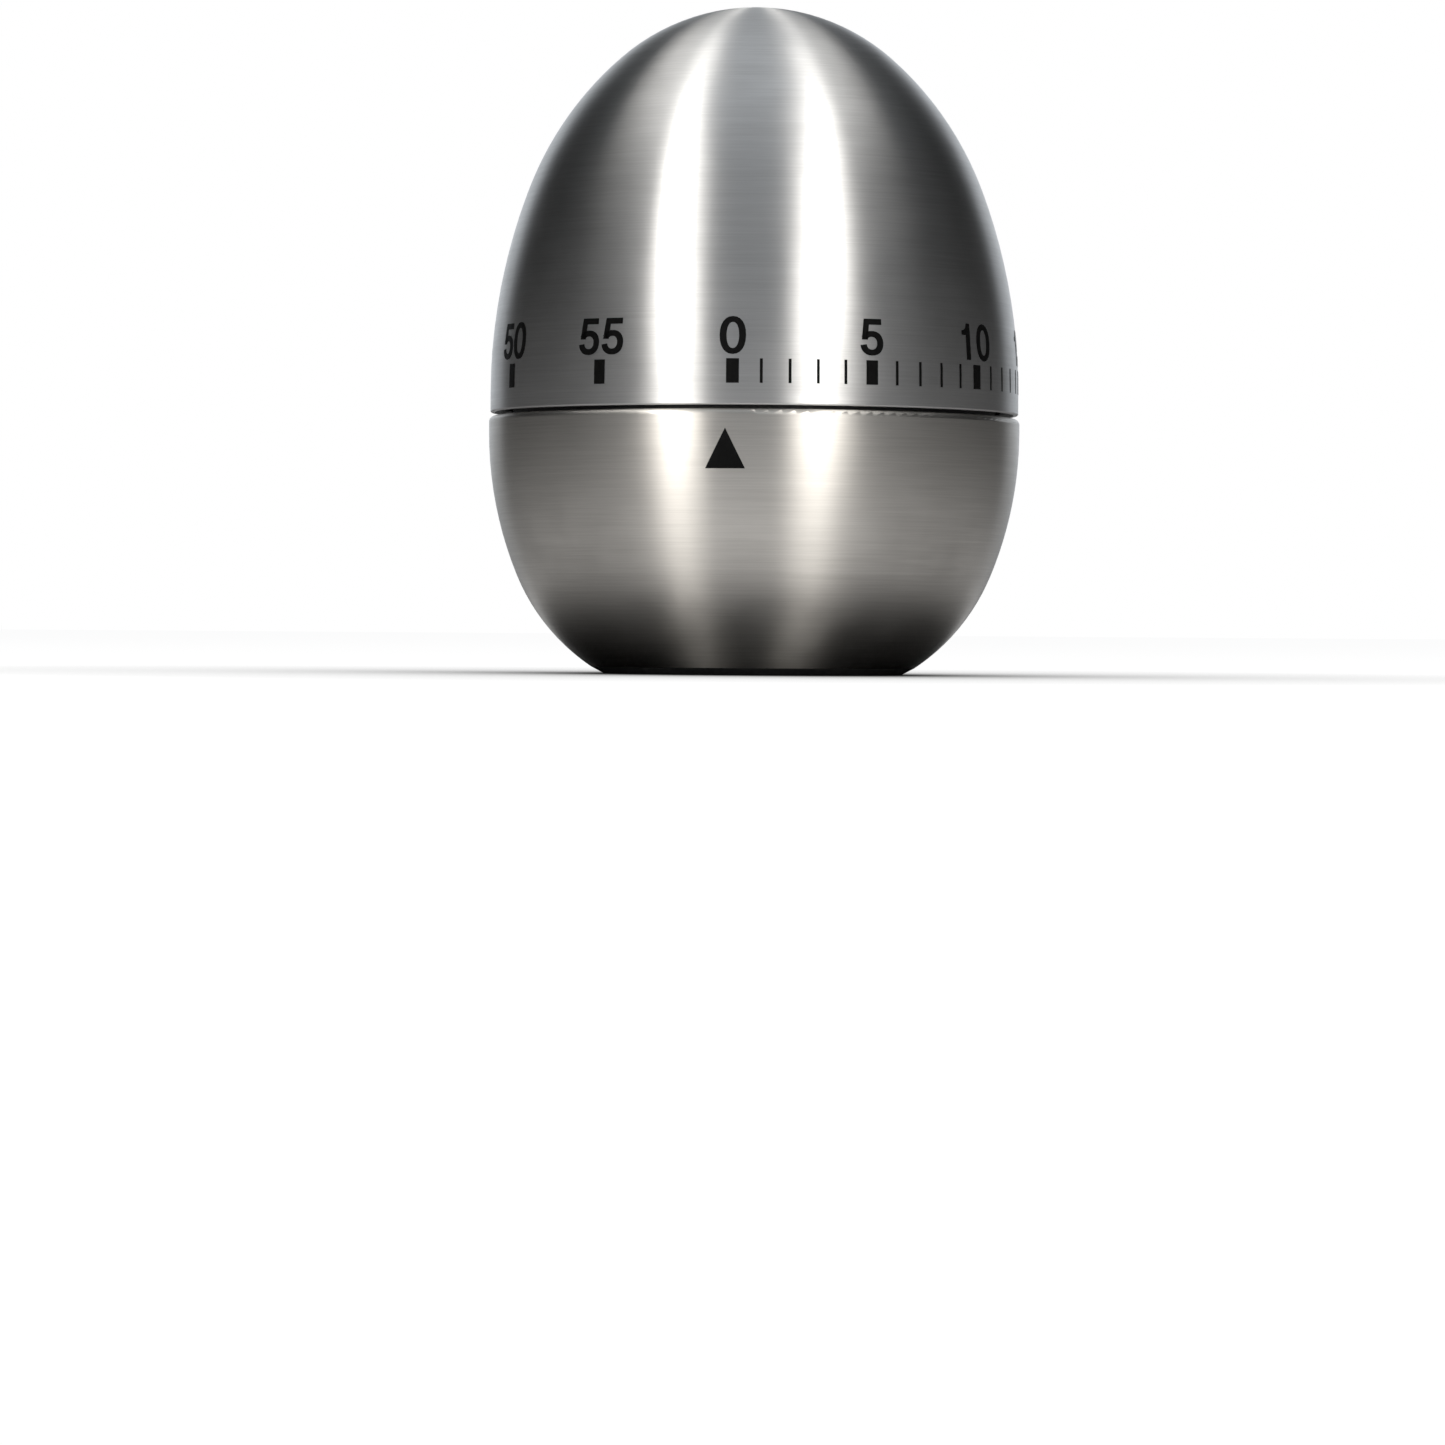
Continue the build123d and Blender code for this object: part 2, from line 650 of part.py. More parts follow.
def bar(start, end, width):
    """A round-ended bar between two points of the current sketch."""
    middle = (start + end) * 0.5
    with Locations(Location((middle.X, middle.Y, 0), (0, 0, bearing(start, end)))):
        SlotCenterToCenter(hypot(end.X - start.X, end.Y - start.Y), width)


def ring_block(radius, radial, middle, width):
    """A block of a ring between two angles about the axis."""
    inner = radius - radial / 2
    outer = radius + radial / 2
    with BuildSketch(mode=Mode.PRIVATE) as block:
        with BuildLine():
            CenterArc((0, 0), outer, middle - width / 2, width)
            Line(polar(outer, middle + width / 2), polar(inner, middle + width / 2))
            CenterArc((0, 0), inner, middle - width / 2, width)
            Line(polar(inner, middle - width / 2), polar(outer, middle - width / 2))
        make_face()
    return block.sketch


# Bell: a drawn steel cup, open upwards, hung under the movement
bell_inner_r = BELL_R - BELL_WALL
bell_top = BELL_BOTTOM_Z + BELL_HEIGHT
bell_seat = BELL_BOTTOM_Z + BELL_WALL
corner_r = BELL_R - BELL_CORNER_R
corner_z = BELL_BOTTOM_Z + BELL_CORNER_R
with BuildPart() as bell:
    with BuildSketch(Plane.XZ):
        with BuildLine():
            Line((BELL_SCREW_R + PLATE_HOLE_CLEAR, BELL_BOTTOM_Z), (corner_r, BELL_BOTTOM_Z))
            CenterArc((corner_r, corner_z), BELL_CORNER_R, -90, 90)
            Polyline((BELL_R, corner_z), (BELL_R, bell_top), (bell_inner_r, bell_top), (bell_inner_r, corner_z))
            CenterArc((corner_r, corner_z), BELL_CORNER_R - BELL_WALL, -90, 90)
            Polyline(
                (corner_r, bell_seat),
                (BELL_SCREW_R + PLATE_HOLE_CLEAR, bell_seat),
                (BELL_SCREW_R + PLATE_HOLE_CLEAR, BELL_BOTTOM_Z),
            )
        make_face()
    revolve(axis=Axis.Z)
save("bell", bell)

# Bell post: riveted in the lower plate, tapped for the bell's screw and bored for the main arbor
with BuildPart() as bell_post:
    with BuildSketch(Plane.XY.offset(bell_seat)):
        Circle(BELL_POST_R)
    extrude(amount=PLATE_Z - bell_seat)
    with BuildSketch(Plane.XY.offset(PLATE_Z)):
        Circle(BELL_SPIGOT_R)
    extrude(amount=PLATE_THICK)
    with BuildSketch(Plane.XY.offset(PLATE_TOP)):
        Circle(MAIN_PIVOT_R + PIVOT_CLEAR)
    extrude(amount=-MAIN_PIVOT_LENGTH, mode=Mode.SUBTRACT)
    with BuildSketch(Plane.XY.offset(bell_seat)):
        Circle(BELL_SCREW_R + SEAT_CLEAR)
    extrude(amount=BELL_SCREW_LENGTH - BELL_WALL + END_SHAKE, mode=Mode.SUBTRACT)
save("bell_post", bell_post)

with BuildPart() as bell_screw:
    with BuildSketch(Plane.XY.offset(BELL_BOTTOM_Z)):
        Circle(BELL_SCREW_HEAD_R)
    extrude(amount=-BELL_SCREW_HEAD_HEIGHT)
    with BuildSketch(Plane.XY.offset(BELL_BOTTOM_Z)):
        Circle(BELL_SCREW_R)
    extrude(amount=BELL_SCREW_LENGTH)
    with BuildSketch(Plane.XY.offset(BELL_BOTTOM_Z - BELL_SCREW_HEAD_HEIGHT)):
        Rectangle(2 * BELL_SCREW_HEAD_R, SCREW_SLOT)
    extrude(amount=BELL_SCREW_HEAD_HEIGHT / 2, mode=Mode.SUBTRACT)
save("bell_screw", bell_screw)

# Movement plates: stamped discs with pivot holes for every arbor
with BuildPart() as lower_plate:
    with BuildSketch(Plane.XY.offset(PLATE_Z)):
        Circle(PLATE_R)
        Circle(BELL_SPIGOT_R + SEAT_CLEAR, mode=Mode.SUBTRACT)
        with Locations(*arbor_places):
            Circle(PIVOT_R + PIVOT_CLEAR, mode=Mode.SUBTRACT)
        with PolarLocations(PILLAR_RING_R, FASTENER_COUNT, PILLAR_START):
            Circle(PILLAR_TENON_R + SEAT_CLEAR, mode=Mode.SUBTRACT)
        with PolarLocations(BOSS_RING_R, FASTENER_COUNT, BOSS_START):
            Circle(SCREW_R + PLATE_HOLE_CLEAR, mode=Mode.SUBTRACT)
    extrude(amount=PLATE_THICK)
save("lower_plate", lower_plate)

spring_inner_r = MAIN_ARBOR_R + SPRING_SEAT
mainspring_shape, mainspring_end = spiral(spring_inner_r, SPRING_PITCH, SPRING_TURNS, SPRING_THICK)
eye_r = SPRING_POST_R + SPRING_SEAT + SPRING_EYE_WALL / 2
spring_post_at = polar(mainspring_end.X + eye_r, SPRING_POST_ANGLE)
with BuildPart() as upper_plate:
    with BuildSketch(Plane.XY.offset(UPPER_PLATE_Z)):
        Circle(PLATE_R)
        Circle(MAIN_TOP_PIVOT_R + PIVOT_CLEAR, mode=Mode.SUBTRACT)
        with Locations(*arbor_places):
            Circle(PIVOT_R + PIVOT_CLEAR, mode=Mode.SUBTRACT)
        with Locations(spring_post_at):
            Circle(SPRING_POST_R + SEAT_CLEAR, mode=Mode.SUBTRACT)
        with PolarLocations(PILLAR_RING_R, FASTENER_COUNT, PILLAR_START):
            Circle(SCREW_R + PLATE_HOLE_CLEAR, mode=Mode.SUBTRACT)
    extrude(amount=PLATE_THICK)
save("upper_plate", upper_plate)

# Pillars: riveted in the lower plate, tapped at the top
with BuildPart() as plate_pillars:
    with BuildSketch(Plane.XY.offset(PLATE_TOP)):
        with PolarLocations(PILLAR_RING_R, FASTENER_COUNT, PILLAR_START):
            Circle(PILLAR_R)
    extrude(amount=PLATE_GAP)
    with BuildSketch(Plane.XY.offset(PLATE_Z)):
        with PolarLocations(PILLAR_RING_R, FASTENER_COUNT, PILLAR_START):
            Circle(PILLAR_TENON_R)
    extrude(amount=PLATE_THICK)
    with BuildSketch(Plane.XY.offset(UPPER_PLATE_Z)):
        with PolarLocations(PILLAR_RING_R, FASTENER_COUNT, PILLAR_START):
            Circle(SCREW_R + SEAT_CLEAR)
    extrude(amount=-SCREW_LENGTH, mode=Mode.SUBTRACT)
save("plate_pillars", plate_pillars)
save("pillar_screws", screws(PILLAR_RING_R, PILLAR_START, UPPER_PLATE_TOP, SCREW_LENGTH, up=False))
save("movement_screws", screws(BOSS_RING_R, BOSS_START, PLATE_TOP, SCREW_LENGTH, up=False))

# Main arbor: turned steel with a collar for the main wheel and a square for the dial
clutch_z = MAIN_Z + MAIN_WHEEL_THICK
clip_z = clutch_z + CLUTCH_THICK
with BuildPart() as main_arbor:
    with BuildSketch(Plane.XY.offset(ARBOR_BOTTOM)):
        Circle(MAIN_ARBOR_R)
    extrude(amount=ARBOR_TOP - ARBOR_BOTTOM)
    with BuildSketch(Plane.XY.offset(ARBOR_BOTTOM)):
        Circle(MAIN_PIVOT_R)
    extrude(amount=-MAIN_PIVOT_LENGTH + END_SHAKE)
    with BuildSketch(Plane.XY.offset(MAIN_Z)):
        Circle(MAIN_COLLAR_R)
    extrude(amount=-MAIN_COLLAR_HEIGHT)
    with BuildSketch(Plane.XY.offset(ARBOR_TOP)):
        Circle(MAIN_TOP_PIVOT_R)
    extrude(amount=PLATE_THICK + 2 * END_SHAKE)
    with BuildSketch(Plane.XY.offset(UPPER_PLATE_TOP)):
        Rectangle(SQUARE_SIDE, SQUARE_SIDE)
    extrude(amount=SQUARE_LENGTH)
    with BuildSketch(Plane.XY.offset(clip_z)):
        Circle(MAIN_ARBOR_R)
        Circle(MAIN_ARBOR_R - CLIP_GROOVE, mode=Mode.SUBTRACT)
    extrude(amount=CLIP_THICK, mode=Mode.SUBTRACT)
save("main_arbor", main_arbor)

with BuildPart() as main_wheel:
    with BuildSketch(Plane.XY.offset(MAIN_Z)):
        add(gear(MAIN_MODULE, MAIN_TEETH, 0.0))
        Circle(MAIN_ARBOR_R + SEAT_CLEAR, mode=Mode.SUBTRACT)
        with PolarLocations(MAIN_WINDOW_RING_R, MAIN_WINDOW_COUNT):
            Circle(MAIN_WINDOW_R, mode=Mode.SUBTRACT)
    extrude(amount=MAIN_WHEEL_THICK)
save("main_wheel", main_wheel)

# Slip clutch: a legged spring washer presses the main wheel to the collar, held by a clip
with BuildPart() as clutch_spring:
    with BuildSketch(Plane.XY.offset(clutch_z)):
        Circle(CLUTCH_HUB_R)
        for leg in range(CLUTCH_LEGS):
            bar(MAIN_AT, polar(CLUTCH_R - CLUTCH_LEG_WIDTH / 2, 360 * leg / CLUTCH_LEGS), CLUTCH_LEG_WIDTH)
        Circle(MAIN_ARBOR_R + SEAT_CLEAR, mode=Mode.SUBTRACT)
    extrude(amount=CLUTCH_THICK)
save("clutch_spring", clutch_spring)

with BuildPart() as arbor_clip:
    with BuildSketch(Plane.XY.offset(clip_z)):
        Circle(CLIP_R)
        Circle(MAIN_ARBOR_R - CLIP_GROOVE + SEAT_CLEAR, mode=Mode.SUBTRACT)
        with Locations((CLIP_R / 2, 0)):
            Rectangle(CLIP_R, CLIP_MOUTH, mode=Mode.SUBTRACT)
    extrude(amount=CLIP_THICK)
save("arbor_clip", arbor_clip)

# Mainspring: a flat spiral, hooked on the arbor and with an eye round its post
with BuildPart() as mainspring:
    with BuildSketch(Plane.XY.offset(SPRING_Z).rotated((0, 0, SPRING_POST_ANGLE))):
        add(mainspring_shape)
        with Locations((mainspring_end.X + eye_r, 0)):
            Circle(eye_r + SPRING_EYE_WALL / 2)
            Circle(eye_r - SPRING_EYE_WALL / 2, mode=Mode.SUBTRACT)
    extrude(amount=SPRING_HEIGHT)
save("mainspring", mainspring)

with BuildPart() as spring_post:
    with BuildSketch(level(spring_post_at, SPRING_Z - SPRING_EYE_WALL)):
        Circle(SPRING_POST_R)
    extrude(amount=UPPER_PLATE_TOP - SPRING_Z + SPRING_EYE_WALL)
save("spring_post", spring_post)

# Going train: each wheel drives the pinion of the next arbor
second_phase = mesh_phase(SECOND_ANGLE, 0.0, MAIN_TEETH, SECOND_PINION_TEETH)
third_phase = mesh_phase(bearing(second_at, third_at), 0.0, SECOND_TEETH, THIRD_PINION_TEETH)
escape_phase = mesh_phase(bearing(third_at, escape_at), 0.0, THIRD_TEETH, ESCAPE_PINION_TEETH)
pinion_length = WHEEL_THICK + 2 * PINION_OVERHANG
second_arbor = turned_arbor(
    second_at,
    gear(MAIN_MODULE, SECOND_PINION_TEETH, second_phase),
    MAIN_Z - PINION_OVERHANG,
    MAIN_WHEEL_THICK + 2 * PINION_OVERHANG,
)
save("second_arbor", second_arbor)
second_teeth = gear(SECOND_MODULE, SECOND_TEETH, 0.0)
second_wheel = wheel(second_at, SECOND_Z, second_teeth, SECOND_WINDOW_RING_R, SECOND_WINDOW_R)
save("second_wheel", second_wheel)
third_arbor = turned_arbor(
    third_at,
    gear(SECOND_MODULE, THIRD_PINION_TEETH, third_phase),
    SECOND_Z - PINION_OVERHANG,
    pinion_length,
)
save("third_arbor", third_arbor)
third_teeth = gear(THIRD_MODULE, THIRD_TEETH, 0.0)
third_wheel = wheel(third_at, THIRD_Z, third_teeth, THIRD_WINDOW_RING_R, THIRD_WINDOW_R)
save("third_wheel", third_wheel)
escape_arbor = turned_arbor(
    escape_at,
    gear(THIRD_MODULE, ESCAPE_PINION_TEETH, escape_phase),
    THIRD_Z - PINION_OVERHANG,
    pinion_length,
)
save("escape_arbor", escape_arbor)


def toothed_disc(at, z, thick, teeth, radius, depth, first, tip, front, back):
    """A wheel of straight-sided teeth: front and back are the degrees each flank spreads at the root."""
    root_r = radius - depth
    with BuildPart() as disc:
        with BuildSketch(level(at, z)):
            with BuildLine():
                corners = []
                for tooth in range(teeth):
                    middle = first + 360 * tooth / teeth
                    corners.append(polar(root_r, middle - tip / 2 - front))
                    corners.append(polar(radius, middle - tip / 2))
                    corners.append(polar(radius, middle + tip / 2))
                    corners.append(polar(root_r, middle + tip / 2 + back))
                Polyline(*corners, close=True)
            make_face()
            Circle(ARBOR_R + SEAT_CLEAR, mode=Mode.SUBTRACT)
        extrude(amount=thick)
    return disc


# Escape wheel: pointed teeth, standing so that both pallet pins are clear of them at rest
pallet_line = bearing(escape_at, pallet_at)
escape_first = pallet_line + PALLET_SPAN / 2 - ESCAPE_REST_PHASE
escape_wheel = toothed_disc(
    escape_at, ESCAPE_Z, ESCAPE_THICK, ESCAPE_TEETH, ESCAPE_R, ESCAPE_TOOTH_DEPTH,
    escape_first, ESCAPE_TIP, -ESCAPE_UNDERCUT, ESCAPE_BACK,
)
save("escape_wheel", escape_wheel)

# Pallet lever: two arms with hard pins over the escape wheel, and a fork to the balance
pallet_z = ESCAPE_Z + ESCAPE_THICK + PALLET_LIFT
pin_places = [escape_at + polar(pin_ring, pallet_line + turn * PALLET_SPAN / 2) for turn in (-1, 1)]
fork_line = bearing(pallet_at, balance_at)
fork_half = IMPULSE_PIN_R + FORK_CLEAR
with BuildPart() as pallet_lever:
    with BuildSketch(Plane.XY.offset(pallet_z)):
        with Locations(pallet_at):
            Circle(HUB_R)
        for place in pin_places:
            bar(pallet_at, place, PALLET_ARM_WIDTH)
        bar(pallet_at, pallet_at + polar(FORK_LENGTH - FORK_HEEL, fork_line), PALLET_ARM_WIDTH)
        fork_middle = pallet_at + polar(FORK_LENGTH + (FORK_TIP - FORK_HEEL) / 2, fork_line)
        with Locations(Location((fork_middle.X, fork_middle.Y, 0), (0, 0, fork_line))):
            Rectangle(FORK_TIP + FORK_HEEL, 2 * (fork_half + FORK_WALL))
        slot_middle = pallet_at + polar(FORK_LENGTH - FORK_ROOT + FORK_HEEL / 2, fork_line)
        with Locations(Location((slot_middle.X, slot_middle.Y, 0), (0, 0, fork_line))):
            Rectangle(FORK_HEEL, 2 * fork_half, mode=Mode.SUBTRACT)
        with Locations(pallet_at):
            Circle(ARBOR_R + SEAT_CLEAR, mode=Mode.SUBTRACT)
        with Locations(*pin_places):
            Circle(PALLET_PIN_R + SEAT_CLEAR / 2, mode=Mode.SUBTRACT)
    extrude(amount=PALLET_THICK)
save("pallet_lever", pallet_lever)

with BuildPart() as pallet_pins:
    with BuildSketch(Plane.XY.offset(ESCAPE_Z - PALLET_PIN_OVERHANG)):
        with Locations(*pin_places):
            Circle(PALLET_PIN_R)
    extrude(amount=pallet_z + PALLET_THICK - ESCAPE_Z + PALLET_PIN_OVERHANG)
save("pallet_pins", pallet_pins)
pallet_arbor = turned_arbor(pallet_at)
save("pallet_arbor", pallet_arbor)

# Balance: a brass rim on its staff, with a roller whose pin works in the fork
roller_z = pallet_z + PALLET_THICK + ROLLER_LIFT
impulse_line = bearing(balance_at, pallet_at)
impulse_at = balance_at + polar(IMPULSE_R, impulse_line)
plain_staff = turned_arbor(balance_at)
with BuildPart() as balance_staff:
    add(plain_staff.part)
    with BuildSketch(level(balance_at, roller_z)):
        Circle(ROLLER_R)
    extrude(amount=ROLLER_THICK)
    with BuildSketch(level(impulse_at, roller_z)):
        Circle(IMPULSE_PIN_R + SEAT_CLEAR / 2)
    extrude(amount=ROLLER_THICK, mode=Mode.SUBTRACT)
    with BuildSketch(level(balance_at, HAIRSPRING_Z)):
        Circle(COLLET_R)
    extrude(amount=HAIRSPRING_HEIGHT)
save("balance_staff", balance_staff)

with BuildPart() as impulse_pin:
    with BuildSketch(level(impulse_at, pallet_z)):
        Circle(IMPULSE_PIN_R)
    extrude(amount=roller_z + ROLLER_THICK - pallet_z)
save("impulse_pin", impulse_pin)

with BuildPart() as balance_wheel:
    with BuildSketch(level(balance_at, BALANCE_Z)):
        Circle(BALANCE_R)
        Circle(BALANCE_R - BALANCE_RIM, mode=Mode.SUBTRACT)
        Rectangle(2 * BALANCE_R - BALANCE_RIM, BALANCE_ARM_WIDTH)
        Circle(HUB_R)
        Circle(ARBOR_R + SEAT_CLEAR, mode=Mode.SUBTRACT)
    extrude(amount=BALANCE_THICK)
save("balance_wheel", balance_wheel)

# Hairspring: from the collet on the staff to a stud under the upper plate
hairspring_shape, hairspring_end = spiral(
    COLLET_R + SPRING_SEAT, HAIRSPRING_PITCH, HAIRSPRING_TURNS, HAIRSPRING_THICK
)
hairspring_plane = level(balance_at, HAIRSPRING_Z).rotated((0, 0, balance_angle))
with BuildPart() as hairspring:
    with BuildSketch(hairspring_plane):
        add(hairspring_shape)
    extrude(amount=HAIRSPRING_HEIGHT)
save("hairspring", hairspring)

with BuildPart() as hairspring_stud:
    with BuildSketch(hairspring_plane):
        with Locations((hairspring_end.X, STUD_SIDE / 2)):
            Rectangle(STUD_SIDE, STUD_SIDE)
    extrude(amount=UPPER_PLATE_Z - HAIRSPRING_Z)
save("hairspring_stud", hairspring_stud)

# Strike work: the cam on the main arbor holds the hammer off until zero, the star then swings it
nose_ring = CAM_R + NOSE_CLEAR + NOSE_R
nose_angle = HAMMER_ANGLE - degrees(acos(nose_ring / HAMMER_RING_R))
notch_middle = nose_angle + (CAM_NOTCH_FROM + CAM_NOTCH_TO) / 2
cam_notch = ring_block(CAM_R, 2 * CAM_NOTCH_DEPTH, notch_middle, CAM_NOTCH_TO - CAM_NOTCH_FROM)
with BuildPart() as strike_cam:
    with BuildSketch(Plane.XY.offset(STRIKE_Z)):
        Circle(CAM_R)
        add(cam_notch, mode=Mode.SUBTRACT)
        Circle(MAIN_ARBOR_R + SEAT_CLEAR, mode=Mode.SUBTRACT)
    extrude(amount=CAM_THICK)
save("strike_cam", strike_cam)

strike_phase = mesh_phase(STRIKE_ANGLE, 0.0, MAIN_TEETH, SECOND_PINION_TEETH)
strike_arbor = turned_arbor(
    strike_at,
    gear(MAIN_MODULE, SECOND_PINION_TEETH, strike_phase),
    MAIN_Z - PINION_OVERHANG,
    MAIN_WHEEL_THICK + 2 * PINION_OVERHANG,
)
save("strike_arbor", strike_arbor)

star_line = bearing(hammer_at, strike_at)
star_distance = hypot(strike_at.X - hammer_at.X, strike_at.Y - hammer_at.Y)
tooth_gap = STAR_R + HAMMER_PALLET_R + HAMMER_PALLET_CLEAR
reach = (star_distance**2 - tooth_gap**2) ** 0.5
tip_at = hammer_at + polar(reach, star_line + degrees(asin(tooth_gap / star_distance)))
star_first = bearing(strike_at, tip_at) + 180 / STAR_TEETH
star_wheel = toothed_disc(
    strike_at, STRIKE_Z, CAM_THICK, STAR_TEETH, STAR_R, STAR_DEPTH,
    star_first, STAR_TIP, STAR_FLANK, STAR_FLANK,
)
save("star_wheel", star_wheel)

# Hammer: lever over the cam and star, arbor through both plates, arm and head inside the bell
hammer_arm_z = PLATE_Z - HAMMER_DROP
hammer_arbor = turned_arbor(hammer_at, radius=HAMMER_ARBOR_R, tail_z=hammer_arm_z)
save("hammer_arbor", hammer_arbor)

nose_at = polar(nose_ring, nose_angle)
nose_elbow_at = polar(nose_ring + NOSE_LENGTH, nose_angle)
tip_elbow_at = strike_at + polar(tooth_gap + HAMMER_PALLET_LENGTH, bearing(strike_at, tip_at))
with BuildPart() as hammer_lever:
    with BuildSketch(Plane.XY.offset(STRIKE_Z)):
        with Locations(hammer_at):
            Circle(HUB_R)
        bar(hammer_at, nose_elbow_at, 2 * NOSE_R)
        bar(nose_elbow_at, nose_at, 2 * NOSE_R)
        bar(hammer_at, tip_elbow_at, 2 * HAMMER_PALLET_R)
        bar(tip_elbow_at, tip_at, 2 * HAMMER_PALLET_R)
        with Locations(hammer_at):
            Circle(HAMMER_ARBOR_R + SEAT_CLEAR, mode=Mode.SUBTRACT)
    extrude(amount=CAM_THICK)
save("hammer_lever", hammer_lever)

head_ring = bell_inner_r - HAMMER_STRIKE_GAP - HAMMER_HEAD_R
head_turn = (head_ring**2 - HAMMER_RING_R**2 - HAMMER_ARM_LENGTH**2) / (2 * HAMMER_RING_R * HAMMER_ARM_LENGTH)
head_line = HAMMER_ANGLE + degrees(acos(head_turn)) + HAMMER_SWING
head_at = hammer_at + polar(HAMMER_ARM_LENGTH, head_line)
with BuildPart() as hammer_arm:
    with BuildSketch(Plane.XY.offset(hammer_arm_z)):
        bar(hammer_at, head_at, HAMMER_ARM_WIDTH)
        with Locations(hammer_at):
            Circle(PIVOT_R + SEAT_CLEAR, mode=Mode.SUBTRACT)
    extrude(amount=HAMMER_ARM_THICK)
save("hammer_arm", hammer_arm)

with BuildPart() as hammer_head:
    with BuildSketch(level(head_at, hammer_arm_z)):
        Circle(HAMMER_HEAD_R)
    extrude(amount=-HAMMER_HEAD_HEIGHT)
save("hammer_head", hammer_head)

# Dust cover: snapped on the liner's ledge, with the fixed stop of the dial
stop_width = (360 - STOP_TRAVEL) / 2 - STOP_CLEAR_DEG
with BuildPart() as dust_cover:
    with BuildSketch(Plane.XY.offset(COVER_Z)):
        Circle(COLLAR_INNER_R - COVER_CLEAR)
        Circle(COVER_HOLE_R, mode=Mode.SUBTRACT)
    extrude(amount=COVER_THICK)
    with BuildSketch(Plane.XY.offset(COVER_Z)):
        add(ring_block(STOP_RING_R, STOP_RADIAL, STOP_ANGLE, stop_width))
    extrude(amount=COVER_THICK + STOP_POST_HEIGHT)
save("dust_cover", dust_cover)

# Dial carrier: moulded spider glued inside the cap, on the arbor's square, with the moving stop
carrier_inset = WALL + CARRIER_CLEAR
carrier_r = UPPER_R - carrier_inset
carrier_foot = UPPER_RIM_Z + CARRIER_RECESS
carrier_top = carrier_foot + CARRIER_RING_HEIGHT
web_z = COLLAR_TOP + CARRIER_RISE
side_r = UPPER_ARCS[0][0] - carrier_inset
side_end = degrees(asin((carrier_top - UPPER_BELT_Z) / side_r))
ring_inner_r = carrier_r - CARRIER_RING_WALL
top_r = UPPER_R - UPPER_ARCS[0][0] + side_r * cos(radians(side_end))
with BuildPart() as dial_carrier:
    with BuildSketch(Plane.XZ):
        with BuildLine():
            Line((carrier_r, carrier_foot), (carrier_r, UPPER_BELT_Z))
            CenterArc((UPPER_R - UPPER_ARCS[0][0], UPPER_BELT_Z), side_r, 0, side_end)
            Polyline(
                (top_r, carrier_top),
                (ring_inner_r, carrier_top),
                (ring_inner_r, web_z + CARRIER_WEB),
                (0, web_z + CARRIER_WEB),
                (0, web_z),
                (ring_inner_r, web_z),
                (ring_inner_r, carrier_foot),
                (carrier_r, carrier_foot),
            )
        make_face()
    revolve(axis=Axis.Z)
    with BuildSketch(Plane.XY.offset(web_z + CARRIER_WEB)):
        for rib in range(CARRIER_RIB_COUNT):
            bar(MAIN_AT, polar(ring_inner_r, 360 * rib / CARRIER_RIB_COUNT), CARRIER_RIB_WIDTH)
    extrude(amount=CARRIER_RIB_HEIGHT)
    with BuildSketch(Plane.XY.offset(web_z - CARRIER_HUB_DROP)):
        Circle(CARRIER_HUB_R)
    extrude(amount=CARRIER_HUB_HEIGHT)
    with BuildSketch(Plane.XY.offset(web_z)):
        add(ring_block(STOP_RING_R, STOP_RADIAL, STOP_ANGLE - stop_width - STOP_CLEAR_DEG, stop_width))
    extrude(amount=COVER_TOP + STOP_RUN_GAP - web_z)
    with BuildSketch(Plane.XY.offset(web_z - CARRIER_HUB_DROP)):
        Rectangle(SQUARE_SIDE + 2 * SOCKET_CLEAR, SQUARE_SIDE + 2 * SOCKET_CLEAR)
    extrude(amount=CARRIER_HUB_HEIGHT, mode=Mode.SUBTRACT)
save("dial_carrier", dial_carrier)
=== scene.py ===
"""A wind-up kitchen timer: a brushed steel egg whose upper half turns as the dial."""

import json
from math import copysign, cos, hypot, pi, radians, sin

import bmesh
import bpy
from mathutils import Matrix, Vector
from mathutils.bvhtree import BVHTree

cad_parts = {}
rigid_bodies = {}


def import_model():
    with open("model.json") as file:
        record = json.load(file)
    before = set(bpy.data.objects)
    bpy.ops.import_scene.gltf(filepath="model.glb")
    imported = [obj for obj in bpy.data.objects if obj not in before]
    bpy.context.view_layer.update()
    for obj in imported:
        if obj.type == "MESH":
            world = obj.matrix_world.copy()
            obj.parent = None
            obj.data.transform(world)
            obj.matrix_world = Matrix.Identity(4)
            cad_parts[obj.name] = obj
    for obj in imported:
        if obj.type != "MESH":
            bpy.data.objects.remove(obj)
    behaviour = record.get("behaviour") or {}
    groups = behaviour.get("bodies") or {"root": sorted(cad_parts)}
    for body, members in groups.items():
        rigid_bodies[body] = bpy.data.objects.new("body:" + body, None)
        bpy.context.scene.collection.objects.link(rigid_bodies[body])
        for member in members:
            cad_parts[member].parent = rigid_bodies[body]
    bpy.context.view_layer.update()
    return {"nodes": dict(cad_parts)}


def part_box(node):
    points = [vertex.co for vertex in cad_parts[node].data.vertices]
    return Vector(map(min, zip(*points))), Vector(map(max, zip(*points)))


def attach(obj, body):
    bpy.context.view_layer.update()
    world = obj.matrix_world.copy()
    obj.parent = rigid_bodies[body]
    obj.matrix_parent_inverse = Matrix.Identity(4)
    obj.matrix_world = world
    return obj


for old in list(bpy.data.objects):
    bpy.data.objects.remove(old)
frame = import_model()


